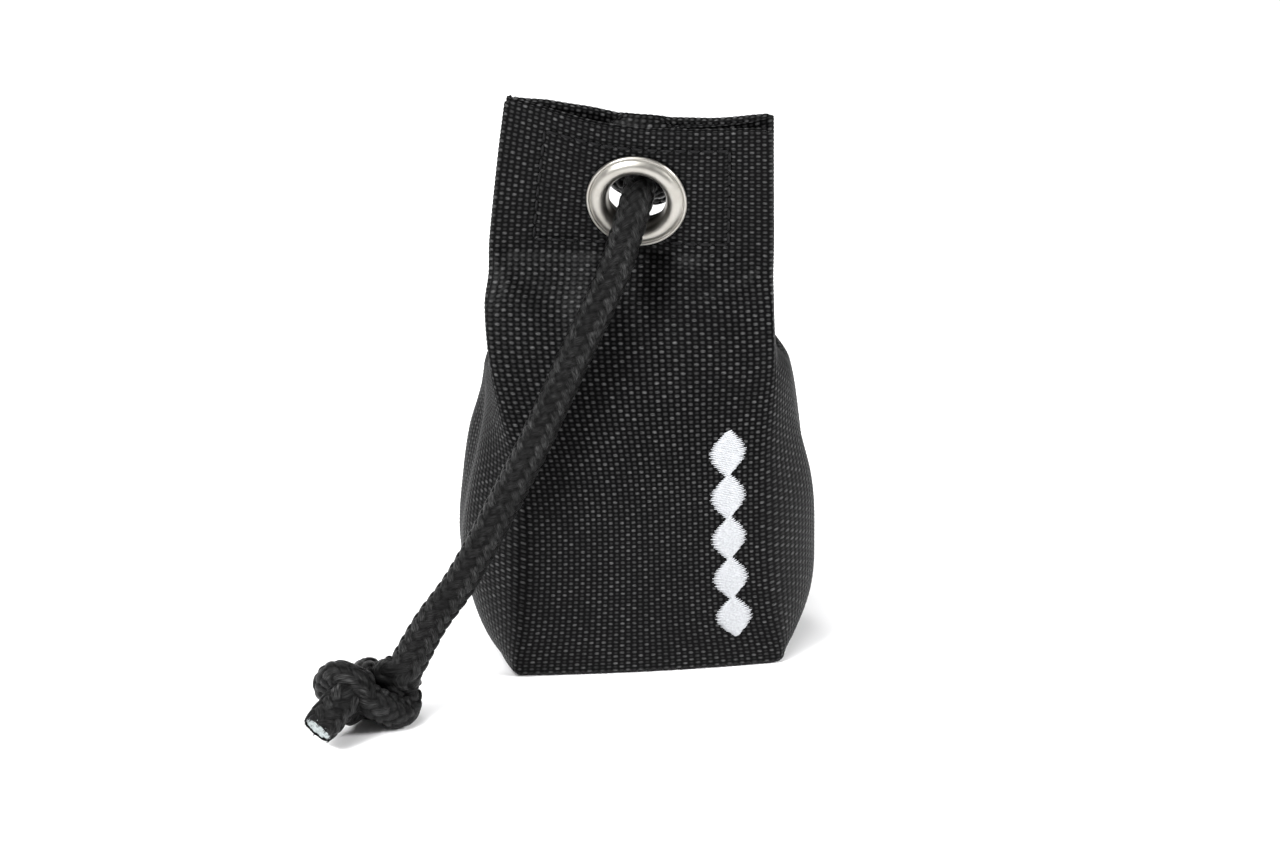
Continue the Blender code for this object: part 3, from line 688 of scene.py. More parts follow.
def fold_depth(side, points):
    """How far the pull folds and the band's lower crease move the cloth outwards."""
    x, z = points[..., 0], points[..., 2]
    depth = np.zeros(x.shape)
    for name, start, end, width, rise in FOLDS:
        if name != side:
            continue
        start, end = np.array(start) * MM, np.array(end) * MM
        way = end - start
        along = np.clip(((x - start[0]) * way[0] + (z - start[1]) * way[1]) / (way @ way), 0, 1)
        away = np.hypot(x - start[0] - way[0] * along, z - start[1] - way[1] * along)
        depth += rise * MM * np.exp(-((away / (width * MM)) ** 2)) * (1 - 0.55 * along)
    return depth - 0.55 * MM * bell(BAND_BOTTOM - 1.2 * MM, 1.1 * MM, z)


def stitch_groove(part, height):
    """The line that the box stitch presses into the band."""
    across = (part - 0.5) * BAND_WIDTH
    half = (STITCH_PARTS[1] - STITCH_PARTS[0]) / 2 * BAND_WIDTH
    low, high = STITCH_HEIGHTS
    middle, tall = (low + high) / 2, (high - low) / 2
    outside = np.maximum(np.abs(across) - half, np.abs(height - middle) - tall)
    return -0.32 * MM * bell(0, 0.75 * MM, outside)


class Cloth:
    """The whole woven shell as one grid: rows go up the outside, over the top fold and down inside."""

    def __init__(self):
        self.starts, place = {}, 0
        for side, count in WARPS.items():
            self.starts[side] = place
            place += count * WARP_STEPS
        self.columns = place
        self.outer_rows = round((HEM_START - SHELL_START) / WEFT_PITCH) * WEFT_STEPS + 1
        share = np.linspace(0, 1, self.outer_rows)[:, None]
        grid = np.empty((self.outer_rows, self.columns, 3))
        self.height = np.empty((self.outer_rows, self.columns))
        self.fold = np.empty(self.columns)
        for side, count in WARPS.items():
            steps = count * WARP_STEPS
            chosen = slice(self.starts[side], self.starts[side] + steps)
            part = np.arange(steps)[None] / steps
            panel = side in ("front", "back")
            near = np.minimum(part, 1 - part)
            drop = SIDE_DROPS.get(side, 0.0) * smoothstep(0.05, 0.16, near)
            height = SHELL_START + (HEM_START - drop - SHELL_START) * share
            part = np.broadcast_to(part, height.shape)
            if not panel:
                rising = smoothstep(3 * MM, 16 * MM, height) * (1 - smoothstep(58 * MM, 84 * MM, height))
                height = height + SIDE_SWELL * near * rising
            self.height[:, chosen] = height
            self.fold[chosen] = PANEL_FOLD if panel else SIDE_FOLD
            grid[:, chosen] = (panel_points if panel else side_points)(side, part, height)
        grid = self.soft_corners(grid)
        self.press(grid)
        self.grid = self.with_ends(grid)
        self.normals = self.normals_of(self.grid)

    def normals_of(self, grid):
        across = np.roll(grid, -1, 1) - np.roll(grid, 1, 1)
        return unit(np.cross(across, np.gradient(grid, axis=0)))

    def soft_corners(self, grid):
        """Rounds the upright creases below the band, as filled cloth does."""
        soft = grid.copy()
        for _ in range(26):
            soft = 0.25 * np.roll(soft, 1, 1) + 0.5 * soft + 0.25 * np.roll(soft, -1, 1)
        share = (1 - smoothstep(56 * MM, 76 * MM, self.height))[..., None]
        return grid * (1 - share) + soft * share

    def press(self, grid):
        """Pull folds, the pressed line of the box stitch, and the dent round the eyelet."""
        normals = self.normals_of(grid)
        for side in ("front", "back"):
            steps = WARPS[side] * WARP_STEPS
            chosen = slice(self.starts[side], self.starts[side] + steps)
            part = np.arange(steps)[None] / steps
            edge = smoothstep(0.0, 0.06, np.minimum(part, 1 - part))
            depth = fold_depth(side, grid[:, chosen]) * edge
            depth += stitch_groove(part, self.height[:, chosen])
            if side == "back":
                depth -= SQUEEZE * (1 - smoothstep(10 * MM, 15 * MM, eyelet_distance(grid[:, chosen])))
            grid[:, chosen] += normals[:, chosen] * depth[..., None]

    def with_ends(self, grid):
        """Adds the turned-under bottom below, and the top fold with its hem above."""
        normals = self.normals_of(grid)
        low, inward = grid[0], -unit(normals[0] * (1, 1, 0))
        radius = BOTTOM_RADIUS
        bottom = []
        for row in range(BOTTOM_ROWS, 0, -1):
            angle = math.pi / 2 * min(1.0, row / 6)
            run = max(0, row - 6) * 0.4 * MM
            step = inward * (radius * (1 - math.cos(angle)) + run)
            bottom.append(low + step - UP * radius * math.sin(angle))
        top, normal = grid[-1], normals[-1]
        up = unit(grid[-1] - grid[-2])
        fold = self.fold[:, None]
        above = []
        for row in range(1, FOLD_ROWS + 1):
            angle = math.pi * row / FOLD_ROWS
            rise = math.sin(angle) * (1 - 0.45 * bell(math.pi / 2, 0.45, angle))
            above.append(top - normal * fold * (1 - math.cos(angle)) + up * fold * rise)
        for row in range(1, HEM_ROWS + 1):
            above.append(grid[-1 - row] - normals[-1 - row] * 2 * fold)
        return np.concatenate([np.array(bottom), grid, np.array(above)])

    def piece(self, name, side, material):
        """The mesh of one side, with its yarns in relief."""
        start, steps = self.starts[side], WARPS[side] * WARP_STEPS
        places = (start + np.arange(steps + 1)) % self.columns
        points, normals = self.grid[:, places], self.normals[:, places]
        warp = (start + np.arange(steps + 1)) / WARP_STEPS
        weft = np.arange(len(points)) / WEFT_STEPS
        relief = weave_relief(*np.broadcast_arrays(warp[None], weft[:, None]))
        points = points + normals * relief[..., None]
        rows, columns = points.shape[:2]
        faces = grid_faces(rows, columns)
        uv = grid_uv(warp * WEAVE_UV_SCALE, weft * WEAVE_UV_SCALE)
        middles = points.reshape(-1, 3)[faces].mean(1)
        deep = (middles - EYELET_CENTRE) @ EYELET_AXIS
        kept = ~((eyelet_distance(middles) < CLOTH_HOLE) & (np.abs(deep) < 14 * MM))
        faces, uv = faces[kept], uv.reshape(-1, 4, 2)[kept]
        return add_object(name, points.reshape(-1, 3), faces, material, uv)

    def on(self, side, part, height):
        """A point of the outer face of a panel, and its normal there."""
        column = self.starts[side] + np.asarray(part) * WARPS[side] * WARP_STEPS
        share = (np.asarray(height) - SHELL_START) / (HEM_START - SHELL_START)
        row = BOTTOM_ROWS + share * (self.outer_rows - 1)
        left, below = np.floor(column).astype(int), np.floor(row).astype(int)
        across, rise = (column - left)[..., None], (row - below)[..., None]
        left, right = left % self.columns, (left + 1) % self.columns
        found = []
        for field in (self.grid, self.normals):
            low, high = (field[place, left] * (1 - across) + field[place, right] * across
                         for place in (below, below + 1))
            found.append(low * (1 - rise) + high * rise)
        return found[0], unit(found[1])


def weave_relief(warp, weft):
    """How far a plain weave's surface lies below its crowns, at these yarn coordinates."""
    column, row = np.floor(warp), np.floor(weft)
    across, up = warp - column - 0.5, weft - row - 0.5
    weft_wave = np.where(row % 2 == 0, 1, -1) * np.sin(np.pi * warp)
    warp_wave = -np.where(column % 2 == 0, 1, -1) * np.sin(np.pi * weft)
    weft_face = YARN_RISE * weft_wave + YARN_HALF * np.sqrt(1 - 3.6 * up ** 2)
    warp_face = YARN_RISE * warp_wave + YARN_HALF * np.sqrt(1 - 3.6 * across ** 2)
    return np.maximum(weft_face, warp_face) - YARN_RISE - YARN_HALF


def eyelet_frame():
    """The middle of the eyelet on the face of the front panel, and its axis, which points forwards."""
    step, rise = 0.01, 0.2 * MM
    part = np.array([[EYELET_PART, EYELET_PART + step, EYELET_PART - step, EYELET_PART, EYELET_PART]])
    height = EYELET_HEIGHT + np.array([[0, 0, 0, rise, -rise]])
    middle, right, left, above, below = panel_points("front", part, height)[0]
    return middle, unit(np.cross(right - left, above - below))


EYELET_CENTRE, EYELET_AXIS = eyelet_frame()


def eyelet_distance(points):
    """How far points lie from the eyelet's axis."""
    away = points - EYELET_CENTRE
    return np.linalg.norm(away - (away @ EYELET_AXIS)[..., None] * EYELET_AXIS, axis=-1)


# ---------------------------------------------------------------- turned and sewn pieces

def basis(axis):
    """Two unit vectors square to the axis and to each other; the second points as far down as it can."""
    down = unit(-UP - (-UP @ axis) * axis)
    return np.cross(down, axis), down


def turned(name, profile, centre, axis, material, count=144):
    """A closed profile of (radius, height) pairs, turned round the axis."""
    side, down = basis(axis)
    angle = np.arange(count) * 2 * np.pi / count
    ring = np.cos(angle)[:, None] * side + np.sin(angle)[:, None] * down
    points = centre + profile[:, None, :1] * ring[None] + profile[:, None, 1:] * axis
    rows = len(profile)
    faces = grid_faces(rows + 1, count, wrap=True) % (rows * count)
    turns = np.arange(count) / count
    uv = grid_uv(turns, np.arange(rows + 1) / rows, wrap_to=1.0)
    return add_object(name, points.reshape(-1, 3), faces[:, ::-1], material, uv.reshape(-1, 4, 2)[:, ::-1])


def rounded(profile, rounds=3):
    """Cuts the corners of a closed outline until it is smooth."""
    line = np.array(profile, float)
    for _ in range(rounds):
        after = np.roll(line, -1, 0)
        line = np.stack([0.75 * line + 0.25 * after, 0.25 * line + 0.75 * after], 1).reshape(-1, 2)
    return line


def threads(name, lines, normals, width, thickness, material, sides=8, taper=0.35):
    """Many short runs of thread in one mesh, each with 8 or 6 sides.

    Lines and normals hold a row of points for each run, and taper is the share of width left at its ends.
    """
    count, length = lines.shape[:2]
    along = unit(np.gradient(lines, axis=1))
    across = unit(np.cross(along, normals))
    above = np.cross(across, along)
    share = np.linspace(-1, 1, length)
    size = (1 - (1 - taper) * np.abs(share) ** 4)[None, :, None, None]
    angle = np.arange(sides) * 2 * np.pi / sides
    ring = (across[:, :, None] * np.cos(angle)[None, None, :, None] * width / 2
            + above[:, :, None] * np.sin(angle)[None, None, :, None] * thickness / 2)
    points = lines[:, :, None] + ring * size
    faces = grid_faces(length, sides, wrap=True)
    caps = np.array([[0, 1, 2, 3], [0, 3, 4, 7], [4, 5, 6, 7]] if sides == 8
                    else [[0, 1, 2, 3], [0, 3, 4, 5]])
    faces = np.vstack([faces[:, ::-1], caps, (caps + (length - 1) * sides)[:, ::-1]])
    every = (faces[None] + (np.arange(count) * length * sides)[:, None, None]).reshape(-1, 4)
    turn = (np.arange(length * sides) % sides / sides, np.arange(length * sides) // sides / length)
    uv = np.stack(turn, -1)[faces]
    uv = np.broadcast_to(uv[None], (count, *uv.shape)).reshape(-1, 4, 2)
    return add_object(name, points.reshape(-1, 3), every, material, uv)


def box_stitches(side, cloth, material):
    """One run of thread for each stitch of the rectangle that closes the band."""
    (left, right), (low, high) = STITCH_PARTS, STITCH_HEIGHTS
    corners = np.array(((left, low), (right, low), (right, high), (left, high), (left, low)))
    gap = STITCH_GAP / STITCH_LENGTH / 2
    parts, heights = [], []
    for start, end in zip(corners, corners[1:]):
        run = np.hypot((end[0] - start[0]) * BAND_WIDTH, end[1] - start[1])
        count = round(run / STITCH_LENGTH)
        for place in range(count):
            ends = np.array((place + gap, place + 1 - gap)) / count
            line = start + (end - start) * np.linspace(*ends, 9)[:, None]
            parts.append(line[:, 0])
            heights.append(line[:, 1])
    points, normals = cloth.on(side, np.array(parts), np.array(heights))
    dip = 0.22 * MM - 0.55 * MM * np.abs(np.linspace(-1, 1, 9)) ** 6
    points = points + normals * dip[None, :, None]
    return threads("stitches_" + side, points, normals, 0.62 * MM, 0.5 * MM, material)


def mark_stitches(cloth, material):
    """A plain column of lozenges in satin stitch, each one a row of threads side by side."""
    low, high = MARK_HEIGHTS
    rows = round((high - low) / MARK_PITCH)
    share = (np.arange(rows) + 0.5) / rows
    half = (0.5 + 3.1 * np.abs(np.sin(np.pi * MARK_LOZENGES * share))) * MM
    ragged = 1 + 0.05 * np.sin(np.arange(rows) * 2.4) + 0.03 * np.sin(np.arange(rows) * 5.1)
    span = np.linspace(-1, 1, 11)
    parts = MARK_PART + span[None] * (half * ragged)[:, None] / PANEL_WIDTH
    heights = low + (high - low) * share[:, None] + MARK_SLANT * span[None]
    points, normals = cloth.on("front", parts, heights)
    swell = (0.46 * (1 - span ** 4) - 0.12) * MM
    points = points + normals * swell[None, :, None]
    return threads("mark_stitches", points, normals, 0.42 * MM, 0.36 * MM, material)


def eyelet_ring(material):
    """The eyelet's front half: a rounded flange with a fine groove inside its rim, and the rolled barrel."""
    back = SQUEEZE - BAND_STACK - WASHER_THICKNESS - 2 * GAP
    wall = 0.5 * MM
    profile = np.array((
        (EYELET_BORE + wall, GAP), (7.0 * MM, GAP), (9.5 * MM, GAP), (EYELET_RADIUS, GAP + 0.08 * MM),
        (EYELET_RADIUS, GAP + 0.55 * MM), (9.75 * MM, GAP + 0.86 * MM), (9.42 * MM, GAP + 0.80 * MM),
        (9.22 * MM, GAP + 0.58 * MM), (9.02 * MM, GAP + 0.80 * MM), (8.6 * MM, GAP + 1.22 * MM),
        (8.1 * MM, GAP + 1.5 * MM), (7.5 * MM, GAP + 1.58 * MM), (6.9 * MM, GAP + 1.42 * MM),
        (6.35 * MM, GAP + 1.02 * MM), (5.95 * MM, GAP + 0.4 * MM), (5.7 * MM, -0.6 * MM),
        (EYELET_BORE, -1.6 * MM), (EYELET_BORE + 0.9 * MM, back * 0.6), (BARREL_END, back),
        (BARREL_END + 0.2 * MM, back - 0.5 * MM), (7.7 * MM, back - 0.85 * MM), (8.3 * MM, back - 0.75 * MM),
        (8.6 * MM, back - 0.4 * MM), (8.5 * MM, back), (8.0 * MM, back), (BARREL_END + 0.4 * MM, back),
        (EYELET_BORE + 0.9 * MM + wall, back * 0.6), (EYELET_BORE + wall, -2.4 * MM),
    ))
    return turned("eyelet_ring", rounded(profile), EYELET_CENTRE, EYELET_AXIS, material)


def eyelet_back_ring(material):
    """The washer behind the band, slightly domed."""
    front = SQUEEZE - BAND_STACK - GAP
    back = front - WASHER_THICKNESS
    inner = BARREL_END + 0.5 * MM
    profile = np.array((
        (inner, front), (9.2 * MM, front), (9.6 * MM, front - 0.1 * MM), (9.6 * MM, front - 0.4 * MM),
        (9.2 * MM, front - 0.7 * MM), (8.9 * MM, front - 0.62 * MM), (8.6 * MM, back + 0.1 * MM),
        (8.0 * MM, back), (inner, back),
    ))
    return turned("eyelet_back_ring", rounded(profile), EYELET_CENTRE, EYELET_AXIS, material)


# ---------------------------------------------------------------- the cord

def tight_knot(diameter, span):
    """An overhand knot pulled tight along X, between (span / 2, 0, 0) and (-span / 2, 0, 0).

    A loose knot is shortened step by step while its turns keep a cord's width between them.
    """
    t = np.linspace(-2.25, 2.25, 200)
    line = np.stack([t ** 5 - 10 * t, -(t ** 3 - 3 * t), t ** 4 - 4 * t * t], 1)
    line = line * np.array([0.4, 1.9, 1.7]) * diameter * 0.33
    line[:, 2] -= line[0, 2]
    start, end = np.array([-span / 2, 0, 0]), np.array([span / 2, 0, 0])
    for count, rounds in ((32, 2600), (48, 900), (80, 300)):
        line = even_line(line, count)
        first, last = line[0].copy(), line[-1].copy()
        one, other = np.triu_indices(count, 1)
        for step in range(rounds):
            share = min(1.0, step / (rounds * 0.3))
            line[1:-1] += 0.5 * ((line[:-2] + line[2:]) / 2 - line[1:-1])
            line[0], line[-1] = first + (start - first) * share, last + (end - last) * share
            spacing = np.linalg.norm(np.diff(line, axis=0), axis=1).mean()
            apart = other - one > max(2, int(1.4 * diameter / spacing))
            for _ in range(5):
                way = line[other[apart]] - line[one[apart]]
                gap = np.linalg.norm(way, axis=1)
                near = gap < diameter
                if not near.any():
                    break
                push = way[near] / gap[near, None] * (diameter - gap[near, None]) / 2
                move, hits = np.zeros_like(line), np.zeros(count)
                for index, sign in ((one[apart][near], -1), (other[apart][near], 1)):
                    np.add.at(move, index, sign * push)
                    np.add.at(hits, index, 1)
                line += move / np.maximum(1, hits)[:, None]
            line[0], line[-1] = first + (start - first) * share, last + (end - last) * share
            if step % 20 == 19:
                line = even_line(line, count)
    return even_line(line, 120)[::-1]


def placed_knot(knot, centre, way, facing):
    """The knot moved so that the cord comes in against the way given, and turned to the facing side."""
    forward = unit(way)
    front = unit(facing - (facing @ forward) * forward)
    side = np.cross(front, forward)
    return centre + knot[:, :1] * forward + knot[:, 1:2] * side + knot[:, 2:] * front


def cord_bend():
    """The cord's curve through the eyelet: straight out of the stopper knot, then bending over the rim."""
    away = TAIL_ROUTE[0] - EYELET_CENTRE
    down = unit(away - (away @ EYELET_AXIS) * EYELET_AXIS)
    places = ((-5.4, 1.55), (-2.8, 0.95), (0.0, 0.0), (2.4, -1.35), (4.6, -3.3), (6.3, -5.7))
    return np.array([EYELET_CENTRE + EYELET_AXIS * a * MM - down * b * MM for a, b in places])


def frames_along(line):
    """Unit tangents and two vectors square to them, which don't twist along the line."""
    tangents = unit(np.gradient(line, axis=0))
    side = np.empty_like(line)
    side[0] = unit(np.cross(tangents[0], UP + np.array((0.1, 0.3, 0))))
    for place in range(1, len(line)):
        kept = side[place - 1] - (side[place - 1] @ tangents[place]) * tangents[place]
        side[place] = kept / np.linalg.norm(kept)
    return tangents, side, np.cross(tangents, side)


def braid_relief(turn, run):
    """The braid's height at a share of a turn and a length along it, and which family is on top.

    Each bundle passes over two of the other family and under two.
    """
    strands = CORD_CARRIERS / 2
    around, forward = turn * strands, run / BRAID_LAY
    first, second = around - forward, around + forward
    one, other = np.round(first), np.round(second)
    over_first = np.clip(1.5 * np.cos(np.pi / 2 * (one + second - 0.5)), -1, 1)
    over_second = np.clip(1.5 * np.cos(np.pi / 2 * (first + other - 2.5)), -1, 1)
    face_first = BUNDLE_RISE * over_first + BUNDLE_HALF * np.sqrt(1 - 3.4 * (first - one) ** 2)
    face_second = BUNDLE_RISE * over_second + BUNDLE_HALF * np.sqrt(1 - 3.4 * (second - other) ** 2)
    height = np.maximum(face_first, face_second) - BUNDLE_RISE - BUNDLE_HALF
    return height, (face_second > face_first).astype(float)


def flattened(offsets, tangents, outward):
    """Cross-sections pressed flat and wide against a knot, which lies on the other side from outward."""
    across = np.cross(tangents, outward)
    out_part = (offsets * outward[:, None]).sum(-1, keepdims=True) * outward[:, None]
    across_part = (offsets * across[:, None]).sum(-1, keepdims=True) * across[:, None]
    return out_part * (1 - KNOT_FLAT) + across_part * (1 + KNOT_WIDE)


def braid_tube(name, line, frames, walked, material, size, knots=()):
    """The braided cord along a part of the whole line, as a mesh tube in relief."""
    tangents, side, other = frames
    turn = np.arange(CORD_SIDES)[None] / CORD_SIDES
    height, family = braid_relief(*np.broadcast_arrays(turn, walked[:, None]))
    radius = CORD_DIAMETER / 2 * size[:, None] + height
    angle = 2 * np.pi * turn
    ring = np.cos(angle)[..., None] * side[:, None] + np.sin(angle)[..., None] * other[:, None]
    offsets = ring * radius[..., None]
    for centre in knots:
        away = line - centre
        away = away - (away * tangents).sum(-1, keepdims=True) * tangents
        reach = np.linalg.norm(away, axis=1)
        near = 1 - smoothstep(7.5 * MM, 10 * MM, np.linalg.norm(line - centre, axis=1))
        share = smoothstep(1.5 * MM, 4.5 * MM, reach) * near
        pressed = flattened(offsets, tangents, unit(away))
        offsets = offsets + (pressed - offsets) * share[:, None, None]
    points = above_floor(line[:, None] + offsets)
    strands = CORD_CARRIERS / 2
    uv = grid_uv(np.arange(CORD_SIDES) / CORD_SIDES * strands, walked / BRAID_LAY, wrap_to=strands)
    faces = grid_faces(len(line), CORD_SIDES, wrap=True)
    made = add_object(name, points.reshape(-1, 3), faces, material, uv)
    depth = 1 + height / (BUNDLE_RISE + BUNDLE_HALF)
    for key, values in (("family", family), ("depth", depth)):
        layer = made.data.attributes.new(key, "FLOAT", "POINT")
        layer.data.foreach_set("value", values.astype(np.float32).ravel())
    return made


def across_end(way):
    """Two vectors square to the way that a cut end faces."""
    side = unit(np.cross(way, UP))
    return side, np.cross(way, side)


def cut_core(name, end, way, material):
    """The white filaments of the core at the cord's cut end."""
    side, other = across_end(way)
    share = np.linspace(0, 1, 6)[:, None]
    lines = []
    for ring, count in CORE_RINGS:
        for place in range(count):
            angle = 2 * math.pi * (place + 0.3 * ring) / count
            spot = (math.cos(angle) * side + math.sin(angle) * other) * ring * CORE_PITCH
            reach = (0.10 * math.sin(3.7 * place + ring) - 0.35) * MM
            lines.append(end + spot + way * (-CORE_DEPTH + (CORE_DEPTH + reach) * share))
    lines = np.array(lines)
    normals = np.broadcast_to(other, lines.shape)
    return threads(name, lines, normals, CORE_FILAMENT, CORE_FILAMENT, material, taper=0.85)


def frayed_ends(name, end, way, material):
    """The few loose filaments round a cut end."""
    side, other = across_end(way)
    share = np.linspace(0, 1, 6)[:, None]
    lines, normals = [], []
    for place in range(FRAY_COUNT):
        angle = 2 * math.pi * place / FRAY_COUNT + 0.35 * math.sin(2.3 * place)
        out = math.cos(angle) * side + math.sin(angle) * other
        reach = (0.25 + 0.35 * math.sin(1.9 * place) ** 2) * MM
        lean = out * (0.25 * math.sin(5.3 * place)) + np.cross(way, out) * 0.5 * math.sin(3.1 * place)
        lines.append(end + out * FRAY_RADIUS + way * (-1.0 * MM + (1.0 * MM + reach) * share)
                     + lean * reach * share ** 2)
        normals.append(np.broadcast_to(out, (6, 3)))
    return threads(name, np.array(lines), np.array(normals), 0.16 * MM, 0.13 * MM, material,
                   sides=6, taper=0.3)


def above_floor(points):
    """Presses a knot flat where it would sink into the ground."""
    low = points[..., 2]
    sinking = np.exp(np.minimum(0, (low - PRESS_START) / (2 * PRESS_START)))
    points[..., 2] = np.where(low < PRESS_START, PRESS_START * (0.12 + 0.88 * sinking), low)
    return points


def tucked_in(line):
    """Pulls the end knot's far left loop in and up, and lifts the strands that would sink."""
    out = (KNOT_CENTRE - line) @ KNOT_SIDEWAYS
    share = smoothstep(3 * MM, 9 * MM, out) * smoothstep(3.5 * MM, 7 * MM, line[:, 2])
    line = line + LOOP_TUCK * share[:, None]
    line[:, 2] += 0.8 * np.maximum(KNOT_LOWEST - line[:, 2], 0)
    return line


def knot_lines():
    """The lines of the stopper knot and of the end knot, and the stopper knot's centre."""
    knot = tight_knot(KNOT_TIGHT * CORD_DIAMETER, KNOT_SPAN)
    end_knot = tucked_in(placed_knot(knot * KNOT_SIZE, KNOT_CENTRE, KNOT_WAY, KNOT_FACING))
    end_knot = end_knot + STUB_BEND * smoothstep(0, KNOT_SPAN / 2, -knot[:, :1])
    end_knot = end_knot + LEAD_BEND * smoothstep(KNOT_SPAN * 0.1, KNOT_SPAN / 2, knot[:, :1])
    centre = EYELET_CENTRE - EYELET_AXIS * STOPPER_DEPTH - UP * STOPPER_DROP
    middle = np.array((0, 0, (knot[:, 2].min() + knot[:, 2].max()) / 2))
    loops = knot[np.abs(knot[:, 0]) < STOPPER_LEAD] - middle
    stopper = placed_knot(loops, centre, EYELET_AXIS, STOPPER_FACING)[::-1]
    return stopper, end_knot, centre


def cord_line():
    """The whole cord's middle line, from the cut end behind the band to the one on the floor.

    Also gives the places where it leaves the stopper knot and enters the end knot, and the centres of both.
    """
    stopper, end_knot, stopper_centre = knot_lines()
    bend = cord_bend()
    stub = stopper[0] + unit(stopper[0] - stopper[4] - 0.6 * UP) * STOPPER_STUB
    rough = np.vstack([stub[None], stopper, bend, TAIL_ROUTE, end_knot, STUB_END[None]])
    fine = softened(even_line(curve_through(rough, 8), 1600), 60)
    line = even_line(fine, round(line_length(fine) / CORD_STEP))
    leaves, enters = (int(np.argmin(np.linalg.norm(line - point, axis=1)))
                      for point in (bend[0], end_knot[1]))
    return line, line_length(fine), leaves, enters, (stopper_centre, KNOT_CENTRE)


def make_cord(braid, loose, white):
    line, total, leaves, enters, knots = cord_line()
    walked = np.linspace(0, total, len(line))
    frames = frames_along(line)
    at_end = smoothstep(2.2 * MM, 0.0, np.minimum(walked, total - walked))
    into_knot = bell(walked[enters], 9 * MM, walked)
    in_stub = smoothstep(12 * MM, 5 * MM, total - walked)
    size = 1 + 0.10 * into_knot + 0.08 * in_stub - 0.10 * at_end

    def stretch(name, low, high, knots):
        chosen = slice(low, high)
        return braid_tube(name, line[chosen], [f[chosen] for f in frames], walked[chosen],
                          braid, size[chosen], knots)

    cord = stretch("braided_cord", leaves, enters + 1, knots)
    end = stretch("end_knot_loops", enters, len(line), knots[1:])
    stopper = stretch("stopper_knot_loops", 0, leaves + 1, knots[:1])
    front, rear = (line[-1], frames[0][-1]), (line[0], -frames[0][0])
    core = cut_core("cut_core", *front, white)
    fray = frayed_ends("frayed_end", *front, loose)
    back_core = cut_core("stopper_cut_core", *rear, white)
    back_fray = frayed_ends("stopper_frayed_end", *rear, loose)
    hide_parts("cord_tail", "cord_bight")
    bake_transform(cord)
    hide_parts("end_knot", "cord_stub")
    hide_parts("cord_core")
    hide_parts("stopper_knot")
    for body, pieces in (("free_cord", (end, core, fray)),
                         ("cord_in_eyelet", (stopper, back_core, back_fray))):
        for piece in pieces:
            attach(piece, body)


# ---------------------------------------------------------------- hidden pieces

def ring_line(height, inset, count=96):
    """A level line round the pouch, drawn in from its outline."""
    line = []
    for side, ends in SIDE_ENDS.items():
        start, end = (corner(name, np.array(height)) for name in ends)
        part = np.arange(count // 4)[:, None] / (count // 4)
        spot = start + (end - start) * part
        if side in STAND_OUT:
            bulge = level_curve(STAND_OUT[side], np.array(height))[0]
            spot[:, 0] += (1 if side == "right" else -1) * bulge * np.sin(np.pi * part[:, 0])
        line.append(spot)
    line = np.vstack(line)
    centre = (line.max(0) + line.min(0)) / 2
    half = line.max(0) - centre
    return centre + (line - centre) * (1 - inset / half)


def lumpy_body(name, low, high, inset, lumps, gather, material):
    """A soft closed body inside the pouch, with a lumpy skin and a domed or gathered top."""
    rows, count, pleats = 44, 192, 24
    angle = np.arange(count) * 2 * np.pi / count
    rings = []
    for row in range(rows):
        share = row / (rows - 1)
        height = low + (high - low) * math.sin(share * math.pi / 2)
        flat = ring_line(height, inset, count)
        centre = flat.mean(0)
        closing = math.sqrt(max(0.0, 1 - max(0.0, (share - 0.72) / 0.28) ** 2))
        drawn = 1 - gather * smoothstep(0.5, 0.9, share) * (0.5 + 0.5 * np.sin(pleats * angle))
        flat = centre + (flat - centre) * (0.04 + 0.96 * closing) * drawn[:, None]
        bumpy = lumps * (np.sin(17 * angle + 9 * share) * np.sin(40 * share + 5 * angle)
                         + 0.6 * np.sin(43 * angle) * np.sin(97 * share))
        flat = flat + unit(flat - centre) * (bumpy - lumps)[:, None]
        rings.append(np.column_stack([flat, np.full(count, height + 0.5 * lumps)]))
    points = np.array(rings)
    uv = grid_uv(np.arange(count) / count, np.arange(rows) / rows, wrap_to=1.0)
    return add_object(name, points.reshape(-1, 3), grid_faces(rows, count, wrap=True), material, uv)


# ---------------------------------------------------------------- the base

def base_cloth(material):
    """The woven bottom, inside the turned-under edge of the sides."""
    across, along = 168, 150
    a = np.linspace(0, 1, across + 1)[None]
    b = np.linspace(0, 1, along + 1)[:, None]
    half_x, half_y = BASE_HALF
    x = (2 * a - 1) * (half_x + 1.4 * MM * np.sin(np.pi * b))
    y = np.broadcast_to((2 * b - 1) * half_y, x.shape)
    warp = np.linspace(0, across / WARP_STEPS, across + 1)
    weft = np.linspace(0, along / WEFT_STEPS, along + 1)
    relief = weave_relief(*np.broadcast_arrays(warp[None], weft[:, None]))
    points = np.dstack([x, y, BASE_HEIGHT - relief - YARN_RISE - YARN_HALF])
    faces = grid_faces(along + 1, across + 1)[:, ::-1]
    uv = grid_uv(warp * WEAVE_UV_SCALE, weft * WEAVE_UV_SCALE).reshape(-1, 4, 2)[:, ::-1]
    return add_object("base_cloth", points.reshape(-1, 3), faces, material, uv)


# ---------------------------------------------------------------- everything together

def sew_on(piece, node):
    """A piece of the pouch that stands for a CAD node."""
    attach(piece, "pouch")
    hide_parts(node)


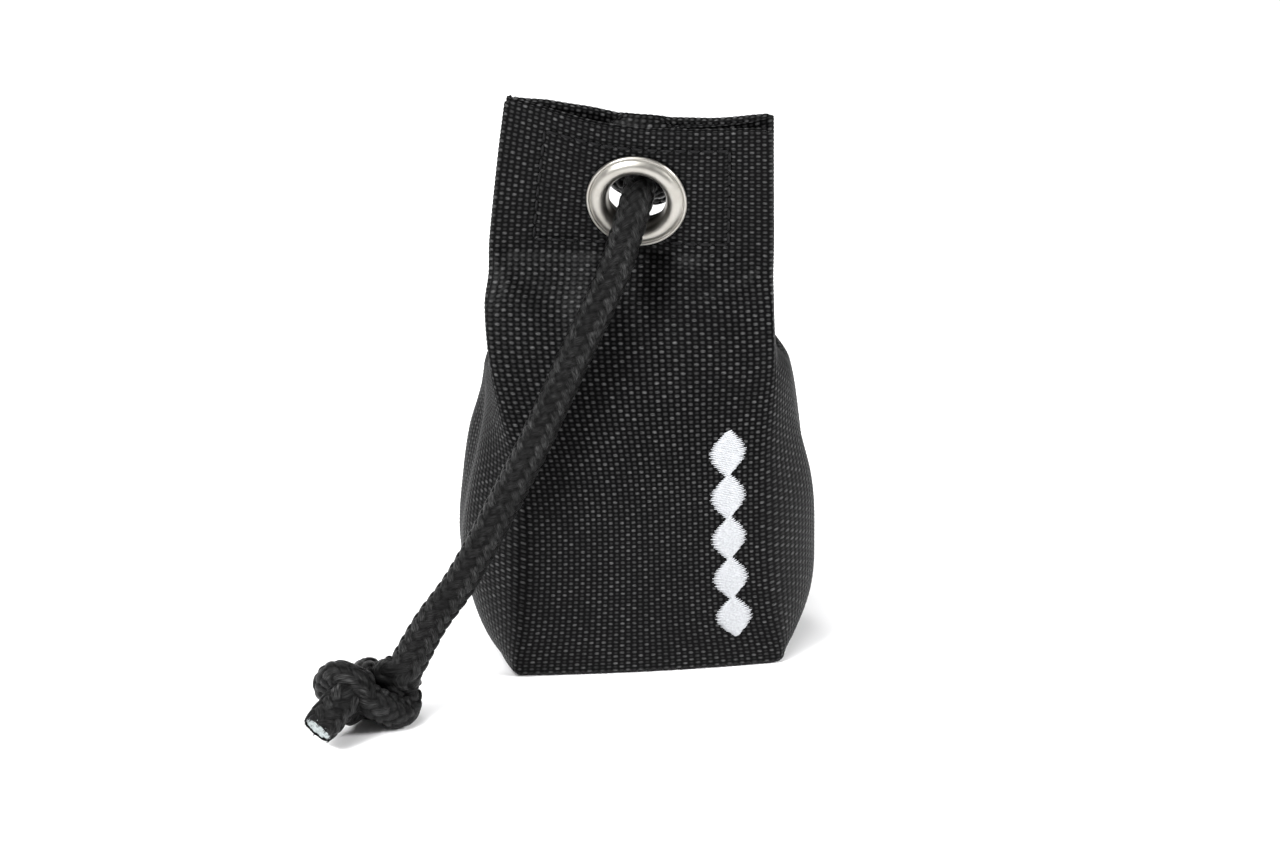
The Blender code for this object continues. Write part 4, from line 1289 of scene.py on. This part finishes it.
def make_pouch():
    cloth = Cloth()
    black_cloth = woven_material("heavy_black_cloth", WARP_COLOUR, WEFT_COLOUR, 0.40)
    for side, node, name in (("front", "front_panel", "front_cloth"),
                             ("right", "right_gusset", "right_side_cloth"),
                             ("back", "back_panel", "back_cloth"),
                             ("left", "left_gusset", "left_side_cloth")):
        piece = cloth.piece(name, side, black_cloth)
        sew_on(piece, node)
    sew_on(base_cloth(black_cloth), "base_panel")
    thread = thread_material("black_thread", BLACK_THREAD, 0.5)
    white = thread_material("white_thread", WHITE_THREAD, 0.5)
    nickel = nickel_material()
    sew_on(box_stitches("front", cloth, thread), "box_stitch_front")
    sew_on(box_stitches("back", cloth, thread), "box_stitch_back")
    sew_on(mark_stitches(cloth, white), "embroidered_mark")
    sew_on(eyelet_ring(nickel), "eyelet")
    sew_on(eyelet_back_ring(nickel), "eyelet_washer")
    lining = grainy_material("lining_cloth", LINING_COLOUR, 0.85, 700.0, 0.05 * MM)
    sew_on(lumpy_body("liner_gathered", 3.0 * MM, 70.0 * MM, 3.8 * MM, 0.15 * MM, 0.18, lining),
           "liner_bag")
    grain = grainy_material("grain", GRAIN_COLOUR, 0.9, 500.0, 0.3 * MM)
    sew_on(lumpy_body("grain_fill", 4.2 * MM, 66.0 * MM, 5.4 * MM, 0.35 * MM, 0.0, grain),
           "filling")


def dress_seam_threads(nodes):
    """The CAD seam threads keep their shape and get a thread's material."""
    thread = grainy_material("seam_thread", SEAM_THREAD, 0.5, 1800.0, 0.05 * MM)
    for name in ("seam_thread_front_left", "seam_thread_front_right", "seam_thread_back_left",
                 "seam_thread_back_right", "base_seam_thread"):
        for slot in nodes[name].material_slots:
            slot.material = thread


def main():
    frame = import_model()
    make_camera()
    make_floor()
    make_light()
    make_cord(
        braid_material("glossy_braid", BRAID_COLOUR, 0.30),
        grainy_material("loose_filament", BRAID_COLOUR, 0.45, 900.0, 0.02 * MM),
        grainy_material("white_core", CORE_COLOUR, 0.7, 1500.0, 0.05 * MM),
    )
    make_pouch()
    dress_seam_threads(frame["nodes"])


main()
